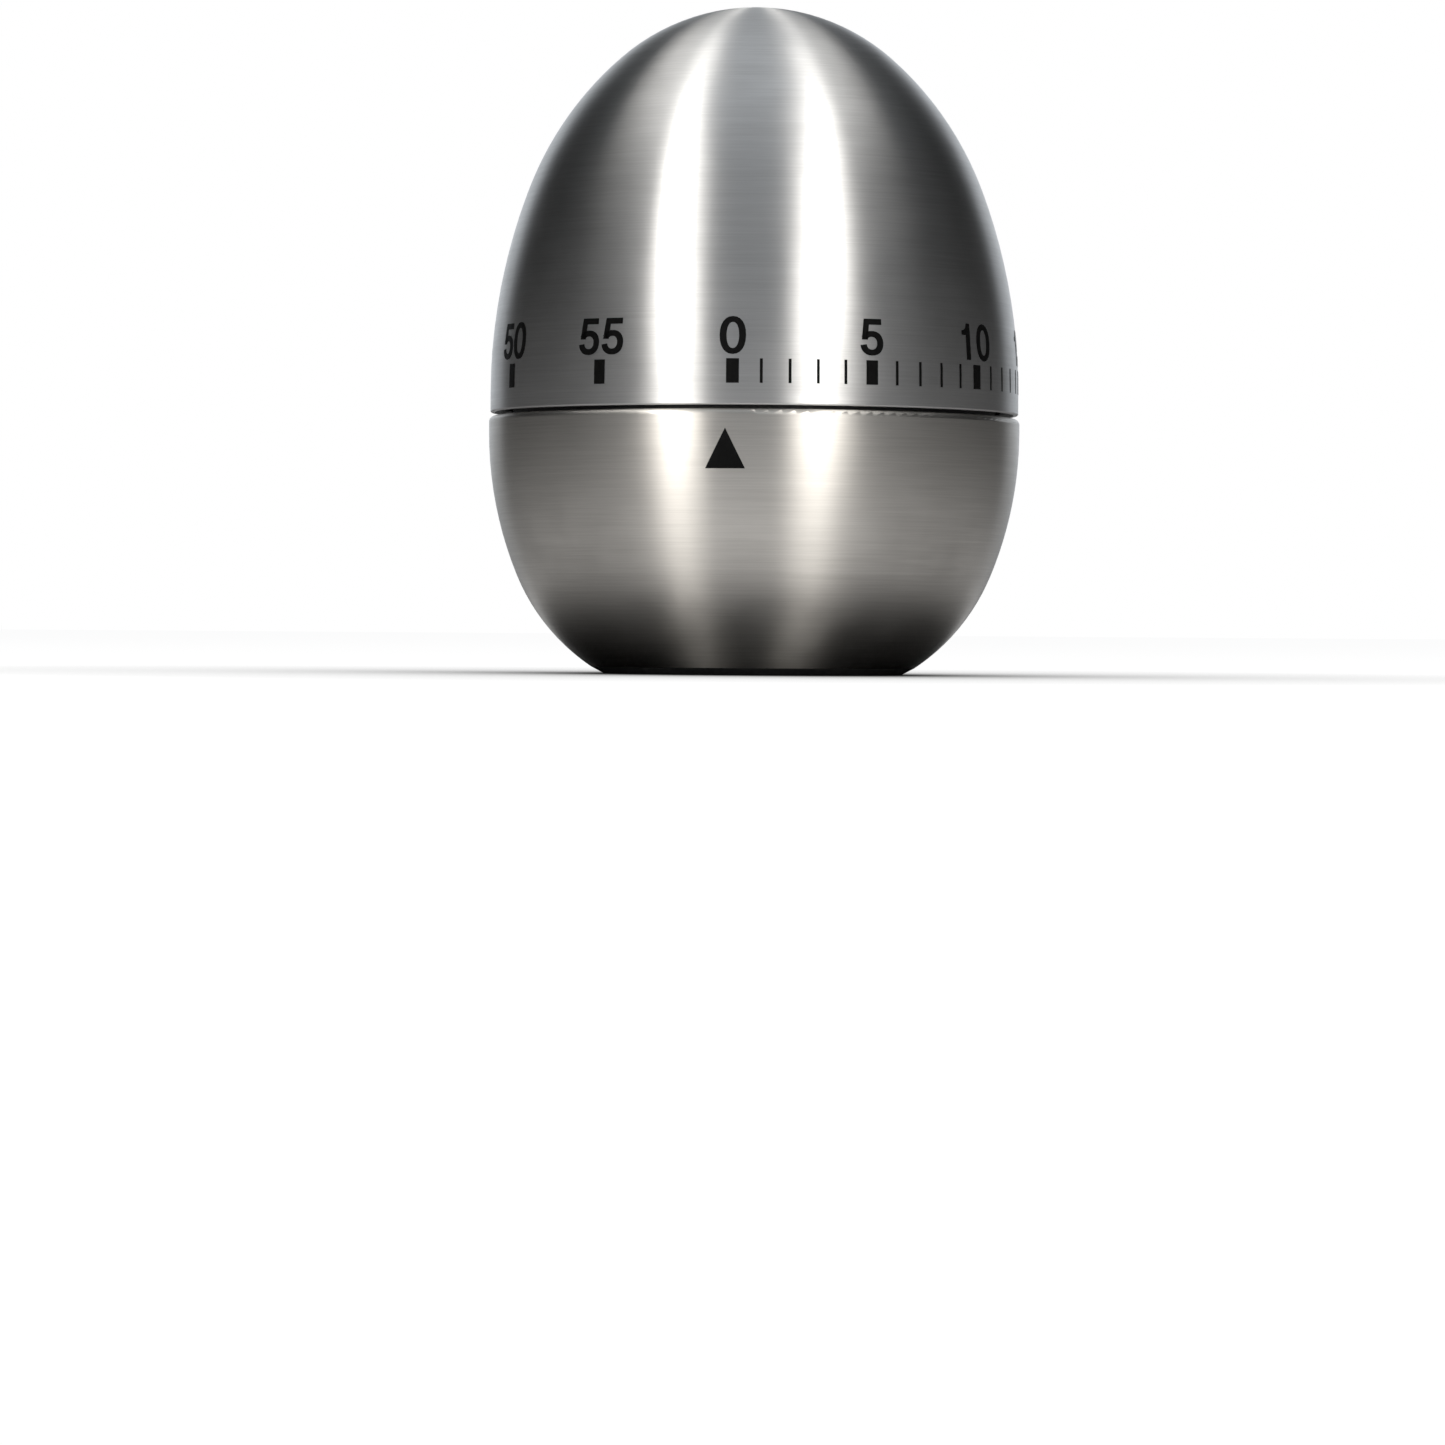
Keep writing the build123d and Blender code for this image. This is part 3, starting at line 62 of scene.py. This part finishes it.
# Lower cup of the egg: drawn from thin stainless sheet and brushed while it spins, so
# fine lines run round it and light runs up and down it. The black liner hangs from its
# shoulder, and the base plate snaps into the hole in its floor.
class Flow:
    """A value on its way through a material's nodes, which adds up like a number."""

    def __init__(self, tree, socket=None):
        self.tree = tree
        self.socket = socket

    def __getitem__(self, output):
        """Another output of the node that this value comes from."""
        return Flow(self.tree, self.socket.node.outputs[output])

    def node(self, kind, settings=(), sockets=()):
        """A new node: its settings first, then the values or links of its sockets."""
        made = self.tree.nodes.new(kind)
        for name, value in dict(settings).items():
            setattr(made, name, value)
        for name, value in dict(sockets).items():
            if isinstance(value, Flow):
                self.tree.links.new(value.socket, made.inputs[name])
            else:
                made.inputs[name].default_value = value
        return Flow(self.tree, made.outputs[0] if made.outputs else None)

    def maths(self, operation, first, second=0.0):
        return self.node("ShaderNodeMath", {"operation": operation}, {0: first, 1: second})

    def __add__(self, other):
        return self.maths("ADD", self, other)

    def __radd__(self, other):
        return self.maths("ADD", other, self)

    def __sub__(self, other):
        return self.maths("SUBTRACT", self, other)

    def __rsub__(self, other):
        return self.maths("SUBTRACT", other, self)

    def __mul__(self, other):
        return self.maths("MULTIPLY", self, other)

    def __rmul__(self, other):
        return self.maths("MULTIPLY", other, self)

    def __truediv__(self, other):
        return self.maths("DIVIDE", self, other)

    def __rtruediv__(self, other):
        return self.maths("DIVIDE", other, self)

    def __pow__(self, other):
        return self.maths("POWER", self, other)


def new_finish(name):
    """An empty node material and the flow that fills it."""
    finish = bpy.data.materials.new(name)
    finish.use_nodes = True
    finish.node_tree.nodes.clear()
    return finish, Flow(finish.node_tree)


def surface(flow, sockets):
    """Ends a material in one shader with these sockets."""
    shader = flow.node("ShaderNodeBsdfPrincipled", (), sockets)
    flow.node("ShaderNodeOutputMaterial", (), {"Surface": shader})


def noise(flow, place, scale, detail, roughness=0.5):
    """Soft random tone at a place."""
    sockets = {"Vector": place, "Scale": scale, "Detail": detail, "Roughness": roughness}
    return flow.node("ShaderNodeTexNoise", (), sockets)


def stretch(flow, value, low, high, most=1.0, curve="LINEAR"):
    """A value that runs from nothing at the low end to the most at the high end."""
    sockets = {0: value, 1: low, 2: high, 3: 0.0, 4: most}
    return flow.node("ShaderNodeMapRange", {"interpolation_type": curve}, sockets)


def grooves(flow, height, strength, depth):
    """A fine relief that only tilts the light."""
    sockets = {"Strength": strength, "Distance": depth, "Height": height}
    return flow.node("ShaderNodeBump", (), sockets)


def blend_colours(flow, factor, first, second):
    """A colour between two others."""
    sockets = {0: factor, 6: (*first, 1.0), 7: (*second, 1.0)}
    return flow.node("ShaderNodeMix", {"data_type": "RGBA"}, sockets)[2]


def dress(finish, *nodes):
    """Puts a finish on solid parts of the frame."""
    for node in nodes:
        for place in frame["nodes"][node].material_slots:
            place.material = finish


def brushed_steel(name, pale, dark, roughness):
    """Steel brushed round the upright axis, with fine lines and soft rubbed patches."""
    brush_centre = 0.034
    line_pitch, line_drift = 190.0, 2.5
    band_pitch, band_drift = 22.0, 1.2
    line_share = 0.75
    tone_low, tone_high = 0.32, 0.68
    line_dulling = 0.02
    rub_scale, rub_dulling = 170.0, 0.12
    groove_strength, groove_depth = 0.02, 0.00002
    finish, flow = new_finish(name)
    place = flow.node("ShaderNodeTexCoord")["Object"]
    axes = flow.node("ShaderNodeSeparateXYZ", (), {0: place})
    x, y, z = axes["X"], axes["Y"], axes["Z"]
    reach = (x * x + y * y + 1e-9) ** 0.5
    fall = flow.maths("ARCTAN2", reach, z - brush_centre)

    def lines(pitch, drift):
        """Lines round the egg, so many to a radian of its outline."""
        sockets = {0: x / reach * drift, 1: y / reach * drift, 2: fall * pitch}
        ring = flow.node("ShaderNodeCombineXYZ", (), sockets)
        return noise(flow, ring, 1.0, 3.0, 0.65)

    fine = lines(line_pitch, line_drift)
    broad = lines(band_pitch, band_drift)
    mixed = fine * line_share + broad * (1.0 - line_share)
    tone = stretch(flow, mixed, tone_low, tone_high)
    rubbed = noise(flow, place, rub_scale, 3.0)
    dulling = line_dulling * (1.0 - tone) + rub_dulling * (rubbed - 0.5)
    surface(
        flow,
        {
            "Base Color": blend_colours(flow, tone, dark, pale),
            "Metallic": 1.0,
            "Roughness": roughness + dulling,
            "Anisotropic": 0.95,
            "Anisotropic Rotation": 0.25,
            "Normal": grooves(flow, fine, groove_strength, groove_depth),
        },
    )
    return finish


cup_steel = brushed_steel("cup_brushed_steel", (0.64, 0.615, 0.58), (0.55, 0.527, 0.495), 0.36)
dress(cup_steel, "lower_shell")


# Black moulded pieces: the liner inside the cup with its bearing collar, the snap-in
# base plate with the foot ring, the dust cover over the works and the dial carrier
# glued into the cap. All are injection moulded with a fine matt texture.
def black_plastic():
    dark, pale = (0.012, 0.012, 0.013), (0.022, 0.022, 0.023)
    grain_scale, cloud_scale = 2600.0, 120.0
    roughness, cloud_dulling = 0.38, 0.16
    grain_strength, grain_depth = 0.25, 0.00005
    finish, flow = new_finish("black_moulded_plastic")
    place = flow.node("ShaderNodeTexCoord")["Object"]
    grain = noise(flow, place, grain_scale, 2.0)
    cloud = noise(flow, place, cloud_scale, 4.0)
    surface(
        flow,
        {
            "Base Color": blend_colours(flow, cloud, dark, pale),
            "Roughness": roughness + cloud_dulling * cloud,
            "Normal": grooves(flow, grain, grain_strength, grain_depth),
        },
    )
    return finish


dress(black_plastic(), "case_liner", "base_plate", "dust_cover", "dial_carrier")


# Movement plates: two stamped steel plates, zinc plated, that hold the arbors between
# them on brass pillars and are screwed to posts in the liner.
def worked_metal(name, pale, dark, roughness, patch_size, line_size):
    """Plated or turned metal: soft patches of tone and fine tool lines."""
    line_stretch = 0.06
    patch_share = 0.6
    tone_low, tone_high = 0.3, 0.7
    dulling = 0.12
    groove_strength, groove_depth = 0.08, 0.00002
    finish, flow = new_finish(name)
    place = flow.node("ShaderNodeTexCoord")["Object"]
    along = line_stretch / line_size
    drawn_out = flow.node(
        "ShaderNodeVectorMath",
        {"operation": "MULTIPLY"},
        {0: place, 1: (along, along, 1.0 / line_size)},
    )
    spot = noise(flow, place, 1.0 / patch_size, 4.0)
    line = noise(flow, drawn_out, 1.0, 2.0)
    mixed = spot * patch_share + line * (1.0 - patch_share)
    tone = stretch(flow, mixed, tone_low, tone_high)
    surface(
        flow,
        {
            "Base Color": blend_colours(flow, tone, dark, pale),
            "Metallic": 1.0,
            "Roughness": roughness + dulling * (1.0 - tone),
            "Normal": grooves(flow, line, groove_strength, groove_depth),
        },
    )
    return finish


plate_steel = worked_metal(
    "zinc_plated_steel", (0.60, 0.61, 0.61), (0.47, 0.48, 0.49), 0.30, 0.003, 0.0004
)
dress(plate_steel, "lower_plate", "upper_plate")


# Brass pieces: the stamped wheels of the train, the pallet lever, the turned pillars,
# the bell post, the hairspring stud and the hammer's striking head.
brass = worked_metal("rolled_brass", (0.74, 0.53, 0.22), (0.58, 0.39, 0.14), 0.24, 0.002, 0.0003)
dress(
    brass,
    "main_wheel",
    "second_wheel",
    "third_wheel",
    "escape_wheel",
    "balance_wheel",
    "pallet_lever",
    "plate_pillars",
    "bell_post",
    "hairspring_stud",
    "hammer_head",
)


# Springs: the mainspring, the hairspring, the clutch washer and its clip, of hardened
# strip with a blue-grey temper colour.
spring_steel = worked_metal(
    "tempered_spring_steel", (0.30, 0.33, 0.40), (0.19, 0.21, 0.28), 0.22, 0.0015, 0.0002
)
dress(spring_steel, "mainspring", "hairspring", "clutch_spring", "arbor_clip")


# Turned and stamped steel: arbors, pins, screws, the strike cam, the star wheel, the
# hammer and its lever, bright from the lathe and the press.
turned_steel = worked_metal(
    "bright_turned_steel", (0.62, 0.61, 0.59), (0.48, 0.47, 0.45), 0.20, 0.002, 0.00025
)
dress(
    turned_steel,
    "main_arbor",
    "second_arbor",
    "third_arbor",
    "escape_arbor",
    "pallet_arbor",
    "pallet_pins",
    "balance_staff",
    "impulse_pin",
    "spring_post",
    "strike_cam",
    "strike_arbor",
    "star_wheel",
    "hammer_arbor",
    "hammer_lever",
    "hammer_arm",
    "pillar_screws",
    "movement_screws",
    "bell_screw",
)


# Bell: a shallow pressed steel gong, nickel plated and bright, held at its centre by a
# screw under the lower plate.
bell_nickel = worked_metal(
    "nickel_plated_bell", (0.70, 0.67, 0.60), (0.60, 0.57, 0.51), 0.12, 0.004, 0.0005
)
dress(bell_nickel, "bell")


# Upper cap of the egg: drawn and brushed like the cup, turned by hand to set the time,
# with the dial carrier glued inside its rim.
cap_steel = brushed_steel("cap_brushed_steel", (0.61, 0.605, 0.60), (0.525, 0.52, 0.515), 0.36)
dress(cap_steel, "upper_shell")


# Dial print: black ink screened round the foot of the cap. Each five minutes has a
# numeral over a broad tick, and the first quarter of an hour has thin minute ticks too.
MM = 0.001
INK_LIFT = 0.02 * MM
INK_DEPTH = 0.03 * MM
INK_STEP = 0.35 * MM
ZERO_ANGLE = -4.6
MINUTE_ANGLE = 6.0
FULL_TURN = 60
FIRST_QUARTER = 15
TICK_FOOT = 31.75 * MM
TICK_TOP = 34.4 * MM
FIVE_TICK_WIDTH = 1.4 * MM
MINUTE_TICK_WIDTH = 0.32 * MM
NUMERAL_FOOT = 34.92 * MM
NUMERAL_HEIGHT = 4.0 * MM
STEM = 0.19
BAR = 0.16
OVAL = 0.9
DIGIT_PITCH = 0.785
ARC_STEPS = 24


def ink():
    dark, pale = (0.002, 0.002, 0.002), (0.005, 0.005, 0.005)
    speck_scale = 1800.0
    roughness, speck_dulling = 0.34, 0.12
    finish, flow = new_finish("black_printing_ink")
    place = flow.node("ShaderNodeTexCoord")["Object"]
    speck = noise(flow, place, speck_scale, 3.0)
    surface(
        flow,
        {
            "Base Color": blend_colours(flow, speck, dark, pale),
            "Roughness": roughness + speck_dulling * speck,
            "Specular IOR Level": 0.05,
        },
    )
    return finish


black_ink = ink()


def flat_sheet(corners, faces):
    """A flat sheet from corner points and the corners of each face."""
    sheet = bpy.data.meshes.new("flat_shape")
    sheet.from_pydata([(x, y, 0.0) for x, y in corners], [], faces)
    return sheet


def patch(*corners):
    """A flat shape with one face."""
    return corners, [range(len(corners))]


def stroke(middle, wide, tall, start, end):
    """A pen stroke along an oval arc, broad where it runs upright and thin where it lies."""
    angles = [radians(start + (end - start) * k / ARC_STEPS) for k in range(ARC_STEPS + 1)]
    corners = []
    for reach in (-0.5, 0.5):
        corners += [
            (
                middle[0] + (wide + reach * STEM) * copysign(abs(cos(a)) ** OVAL, cos(a)),
                middle[1] + (tall + reach * BAR) * copysign(abs(sin(a)) ** OVAL, sin(a)),
            )
            for a in angles
        ]
    row = len(angles)
    return corners, [(k, k + 1, row + k + 1, row + k) for k in range(ARC_STEPS)]


def digit_shapes():
    """The strokes of each digit on the dial, one unit tall: bold upright forms without serifs."""
    bowl, loop = 0.35 - STEM / 2, 0.515 - BAR / 2
    low, high = 0.335, 0.735
    side = 0.34
    arm, foot = 0.36, 0.21
    inner = 0.05
    stem = inner + STEM
    post = -0.08
    flag = -0.075
    return {
        "0": [stroke((0.0, 0.5), bowl + 0.01, loop, 0, 360)],
        "1": [
            patch(
                (post, 0.0), (post + STEM, 0.0), (post + STEM, 1.0), (-0.04, 1.0),
                (post, 0.88), (-0.16, 0.82), (-0.26, 0.80), (-0.26, 0.68), (post, 0.68),
            )
        ],
        "2": [
            stroke((0.0, high - 0.02), bowl, 0.285 - BAR / 2, 178, -20),
            patch((0.165, 0.655), (0.345, 0.60), (0.22, 0.44), (-0.10, BAR), (-side, BAR)),
            patch((-side, 0.0), (side, 0.0), (side, BAR), (-side, BAR)),
        ],
        "3": [
            stroke((-0.01, high), bowl - 0.03, 0.265 - BAR / 2, 170, -90),
            stroke((-0.01, 0.295), bowl, 0.295 - BAR / 2, 90, -172),
        ],
        "4": [
            patch((inner, 0.0), (stem, 0.0), (stem, 1.0), (inner, 1.0)),
            patch(
                (-arm, foot), (inner, foot), (inner, foot + BAR),
                (-0.2, foot + BAR), (-arm, foot + BAR),
            ),
            patch((-arm, foot + BAR), (-0.2, foot + BAR), (inner, 0.74), (inner, 1.0), (0.03, 1.0)),
            patch((stem, foot), (arm, foot), (arm, foot + BAR), (stem, foot + BAR)),
        ],
        "5": [
            patch((-0.30, 0.43), (-0.12, 0.43), (flag, 1.0 - BAR), (flag, 1.0), (-0.225, 1.0)),
            patch((flag, 1.0 - BAR), (0.305, 1.0 - BAR), (0.305, 1.0), (flag, 1.0)),
            stroke((0.0, low), bowl, low - BAR / 2, 150, -172),
        ],
    }


DIGITS = digit_shapes()


def flat_numeral(text):
    """A numeral's flat outline, its foot on zero and its middle at zero."""
    corners, faces = [], []
    for place, digit in enumerate(text):
        shift = (place - (len(text) - 1) / 2) * DIGIT_PITCH
        for points, patches in DIGITS[digit]:
            faces += [[len(corners) + k for k in face] for face in patches]
            corners += [((x + shift) * NUMERAL_HEIGHT, y * NUMERAL_HEIGHT) for x, y in points]
    return flat_sheet(corners, faces)


def flat_tick(width):
    """A tick's flat outline."""
    half = width / 2
    tall = TICK_TOP - TICK_FOOT
    return flat_sheet(*patch((-half, 0.0), (half, 0.0), (half, tall), (-half, tall)))


def slice_flat(mark):
    """Cuts a flat mark into narrow strips both ways, so that it can follow a curve."""
    for axis in (0, 1):
        along = [v.co[axis] for v in mark.verts]
        for step in range(1, int((max(along) - min(along)) / INK_STEP) + 1):
            spot, normal = Vector(), Vector()
            spot[axis] = min(along) + step * INK_STEP
            normal[axis] = 1.0
            whole = mark.verts[:] + mark.edges[:] + mark.faces[:]
            bmesh.ops.bisect_plane(mark, geom=whole, plane_co=spot, plane_no=normal)


def faces_inward(face):
    """Whether a face of a mark looks at the upright axis."""
    return face.normal.dot(Vector((*face.calc_center_median().xy, 0.0))) < 0


def print_on(name, node, body, marks):
    """Wraps flat marks (sheet, angle, foot height) round a shell as a thin layer of ink."""
    metal = frame["nodes"][node].data
    points = [v.co for v in metal.vertices]
    shell = BVHTree.FromPolygons(points, [f.vertices for f in metal.polygons])
    outside = 2 * max(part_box(node)[1].xy)
    inward = Vector((0.0, 1.0, 0.0))
    layer = bmesh.new()
    for sheet, angle, foot in marks:
        mark = bmesh.new()
        mark.from_mesh(sheet)
        slice_flat(mark)
        for v in mark.verts:
            front = Vector((0.0, -outside, foot + v.co.y))
            middle, _, _, _ = shell.ray_cast(front, inward)
            turn = Matrix.Rotation(radians(angle) + v.co.x / hypot(*middle.xy), 3, "Z")
            spot, normal, _, _ = shell.ray_cast(turn @ front, turn @ inward)
            v.co = spot + normal * INK_LIFT
        mark.normal_update()
        bmesh.ops.reverse_faces(mark, faces=[f for f in mark.faces if faces_inward(f)])
        bmesh.ops.solidify(mark, geom=mark.faces[:], thickness=INK_DEPTH)
        finished = bpy.data.meshes.new("mark_shape")
        mark.to_mesh(finished)
        mark.free()
        layer.from_mesh(finished)
    mesh = bpy.data.meshes.new(name)
    layer.to_mesh(mesh)
    layer.free()
    mesh.materials.append(black_ink)
    piece = bpy.data.objects.new(name, mesh)
    bpy.context.scene.collection.objects.link(piece)
    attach(piece, body)


def on_dial(minute):
    """The angle of a minute on the dial."""
    return ZERO_ANGLE + MINUTE_ANGLE * minute


fives = range(0, FULL_TURN, 5)
singles = [m for m in range(FIRST_QUARTER) if m % 5]
numerals = [(flat_numeral(str(m)), on_dial(m), NUMERAL_FOOT) for m in fives]
broad_ticks = [(flat_tick(FIVE_TICK_WIDTH), on_dial(m), TICK_FOOT) for m in fives]
thin_ticks = [(flat_tick(MINUTE_TICK_WIDTH), on_dial(m), TICK_FOOT) for m in singles]
print_on("dial_numerals", "upper_shell", "dial", numerals)
print_on("dial_five_minute_ticks", "upper_shell", "dial", broad_ticks)
print_on("dial_minute_ticks", "upper_shell", "dial", thin_ticks)


# Pointer: a solid triangle of the same ink on the cup, just under the turning gap, that
# the dial is read against.
POINTER_ANGLE = -6.05
POINTER_FOOT = 22.5 * MM
POINTER_TALL = 4.4 * MM
POINTER_WIDE = 4.35 * MM

pointer_half = POINTER_WIDE / 2
pointer = flat_sheet(*patch((-pointer_half, 0.0), (pointer_half, 0.0), (0.0, POINTER_TALL)))
print_on("pointer_triangle", "lower_shell", "case", [(pointer, POINTER_ANGLE, POINTER_FOOT)])


# Floor: a wide pale sheet that the timer stands on, white to the eye, with a painted shadow round
# the timer's foot worked out from ambient occlusion, over a tenth of real lamp-lit grey.
# The steel sees it differently: a painted shade round the foot and a painted pool of light in front
# of the cup, as painted reflections.
FLOOR_REACH = 6.0
FLOOR_GREY = 0.8
WHITE_LEVEL = 1.05
WHITE_SHARE = 0.9
SHADE_REACH = 0.09
SHADE_SAMPLES = 16
SHADE_DEPTH = 2.0
SHADE_START = 0.029
SHADE_END = 0.053
POOL_REACH = 0.043
POOL_FRONT = 0.034
POOL_LEVEL = 1.35
FAR_LEVEL = 0.17

floor_sheet = bpy.data.meshes.new("floor")
floor_sheet.from_pydata(
    [(x * FLOOR_REACH, y * FLOOR_REACH, 0.0) for x, y in ((-1, -1), (1, -1), (1, 1), (-1, 1))],
    [],
    [range(4)],
)
floor = bpy.data.objects.new("floor", floor_sheet)
bpy.context.scene.collection.objects.link(floor)


def pale_floor():
    finish, flow = new_finish("pale_floor")
    path = flow.node("ShaderNodeLightPath")
    seen = path["Is Camera Ray"]
    mirrored = path["Is Glossy Ray"] + path["Is Transmission Ray"]
    # Painted shadow: ambient occlusion darkens the white emission that the camera sees round the
    # timer's foot.
    painted_shadow_occlusion = flow.node(
        "ShaderNodeAmbientOcclusion", {"samples": SHADE_SAMPLES}, {"Distance": SHADE_REACH}
    )["AO"]
    place = flow.node("ShaderNodeTexCoord")["Object"]
    axes = flow.node("ShaderNodeSeparateXYZ", (), {0: place})
    x, y = axes["X"], axes["Y"]
    reach = (x * x + y * y) ** 0.5
    # Painted reflection, seen only in the steel: a painted shade ring round the foot and a painted
    # pool of light in front of the cup, fading to a dim far level.
    painted_shade_fade = stretch(flow, reach, SHADE_START, SHADE_END, curve="SMOOTHSTEP")
    across, along = x / POOL_REACH, (y + POOL_FRONT) / POOL_REACH
    painted_light_pool = 1.0 / (1.0 + across * across + along * along)
    painted_reflection = painted_shade_fade * (FAR_LEVEL + POOL_LEVEL * painted_light_pool)
    painted_floor_light = WHITE_LEVEL * painted_shadow_occlusion ** SHADE_DEPTH * seen + painted_reflection * mirrored
    white = flow.node("ShaderNodeEmission", (), {"Color": painted_floor_light, "Strength": 1.0})
    grey = (FLOOR_GREY, FLOOR_GREY, FLOOR_GREY, 1.0)
    matt = flow.node("ShaderNodeBsdfDiffuse", (), {"Color": grey})
    share = WHITE_SHARE * seen + mirrored
    mixed = flow.node("ShaderNodeMixShader", (), {0: share, 1: matt, 2: white})
    flow.node("ShaderNodeOutputMaterial", (), {"Surface": mixed})
    return finish


floor_sheet.materials.append(pale_floor())


# Room: dim at the sides, grey in front and white behind the timer, so that the steel
# shows dark flanks between its bright bands and pale edges.
WALL_EDGE = 0.75
WALL_START = 0.83
WALL_STEP = 0.5
DIM_LEVEL = 0.01
FRONT_LEVEL = 0.26
FRONT_FALL = 1.5
CEILING_LEVEL = 1.0
CEILING_FALL = 5.0
ROOM_COLOUR = (0.9, 0.95, 1.0)
WHITE = (1.0, 1.0, 1.0)

room = bpy.data.worlds.new("studio_room")
room.use_nodes = True
room.node_tree.nodes.clear()
bpy.context.scene.world = room
air = Flow(room.node_tree)
heading = air.node("ShaderNodeSeparateXYZ", (), {0: air.node("ShaderNodeTexCoord")["Generated"]})
path = air.node("ShaderNodeLightPath")
seen = path["Is Camera Ray"]
mirrored = path["Is Glossy Ray"] + path["Is Transmission Ray"]
edge = stretch(air, heading["Y"], WALL_EDGE, WALL_START, most=WALL_STEP)
wall = stretch(air, heading["Y"], WALL_START, 1.0, most=1.0 - WALL_STEP)
ahead = air.maths("MAXIMUM", heading["Y"] * -1.0, 0.0) ** FRONT_FALL
above = air.maths("MAXIMUM", heading["Z"], 0.0) ** CEILING_FALL
dim = DIM_LEVEL + FRONT_LEVEL * ahead + CEILING_LEVEL * above
white = seen + mirrored * (edge + wall)
glow = air.node(
    "ShaderNodeBackground",
    (),
    {
        "Color": blend_colours(air, seen, ROOM_COLOUR, WHITE),
        "Strength": dim * (1.0 - white) + white,
    },
)
air.node("ShaderNodeOutputWorld", (), {"Surface": glow})


# Lamps: two tall soft boxes in front, one to each side of the camera, whose reflections
# are the two bright bands up the egg, and two overhead that carry the bands to its top.
LAMP_COLOUR = (1.0, 0.98, 0.94)


def soft_box(name, low_end, high_end, wide, brightness):
    """A soft box between two points (azimuth, distance, height) that faces the timer."""
    ends = [
        Vector((away * sin(radians(azimuth)), -away * cos(radians(azimuth)), height))
        for azimuth, away, height in (low_end, high_end)
    ]
    lean = (ends[1] - ends[0]).normalized()
    middle = (ends[0] + ends[1]) / 2
    side = lean.cross(middle).normalized()
    lamp = bpy.data.lights.new(name, "AREA")
    lamp.shape = "RECTANGLE"
    lamp.size = wide
    lamp.size_y = (ends[1] - ends[0]).length
    lamp.energy = brightness * pi * lamp.size * lamp.size_y
    lamp.color = LAMP_COLOUR
    box = bpy.data.objects.new(name, lamp)
    turn = Matrix((side, lean, side.cross(lean))).transposed()
    box.matrix_world = Matrix.Translation(middle) @ turn.to_4x4()
    bpy.context.scene.collection.objects.link(box)


soft_box("left_soft_box", (-27.5, 0.8, 0.0), (-60.0, 0.77, 1.2), wide=0.225, brightness=6.0)
soft_box("right_soft_box", (20.5, 0.8, 0.0), (58.0, 0.77, 1.2), wide=0.235, brightness=6.0)
soft_box("left_high_soft_box", (-63.5, 0.7, 1.15), (-132.5, 0.86, 1.1), wide=0.34, brightness=2.2)
soft_box("right_high_soft_box", (60.0, 0.67, 1.15), (129.0, 0.78, 1.1), wide=0.28, brightness=1.9)


# Camera: level with the timer's foot and well back, as in the photograph, turned a
# little up and to the side so that the timer stands where it does there.
IMAGE_SIZE = 1445
FOCAL_PIXELS = 5866.0
SENSOR_WIDE = 36.0
NEAREST = 0.01
EYE_PLACE = (0.0, -0.6647, 0.005)
EYE_TURN = 0.289
EYE_TILT = 90.0 - 0.9035
EYE_ROLL = 0.4

eye = bpy.data.cameras.new("camera")
eye.sensor_width = SENSOR_WIDE
eye.clip_start = NEAREST
eye.lens = FOCAL_PIXELS * SENSOR_WIDE / IMAGE_SIZE
camera = bpy.data.objects.new("camera", eye)
bpy.context.scene.collection.objects.link(camera)
camera.matrix_world = (
    Matrix.Translation(EYE_PLACE)
    @ Matrix.Rotation(radians(EYE_TURN), 4, "Z")
    @ Matrix.Rotation(radians(EYE_TILT), 4, "X")
    @ Matrix.Rotation(radians(EYE_ROLL), 4, "Z")
)
bpy.context.scene.camera = camera
bpy.context.scene.view_settings.view_transform = "Standard"
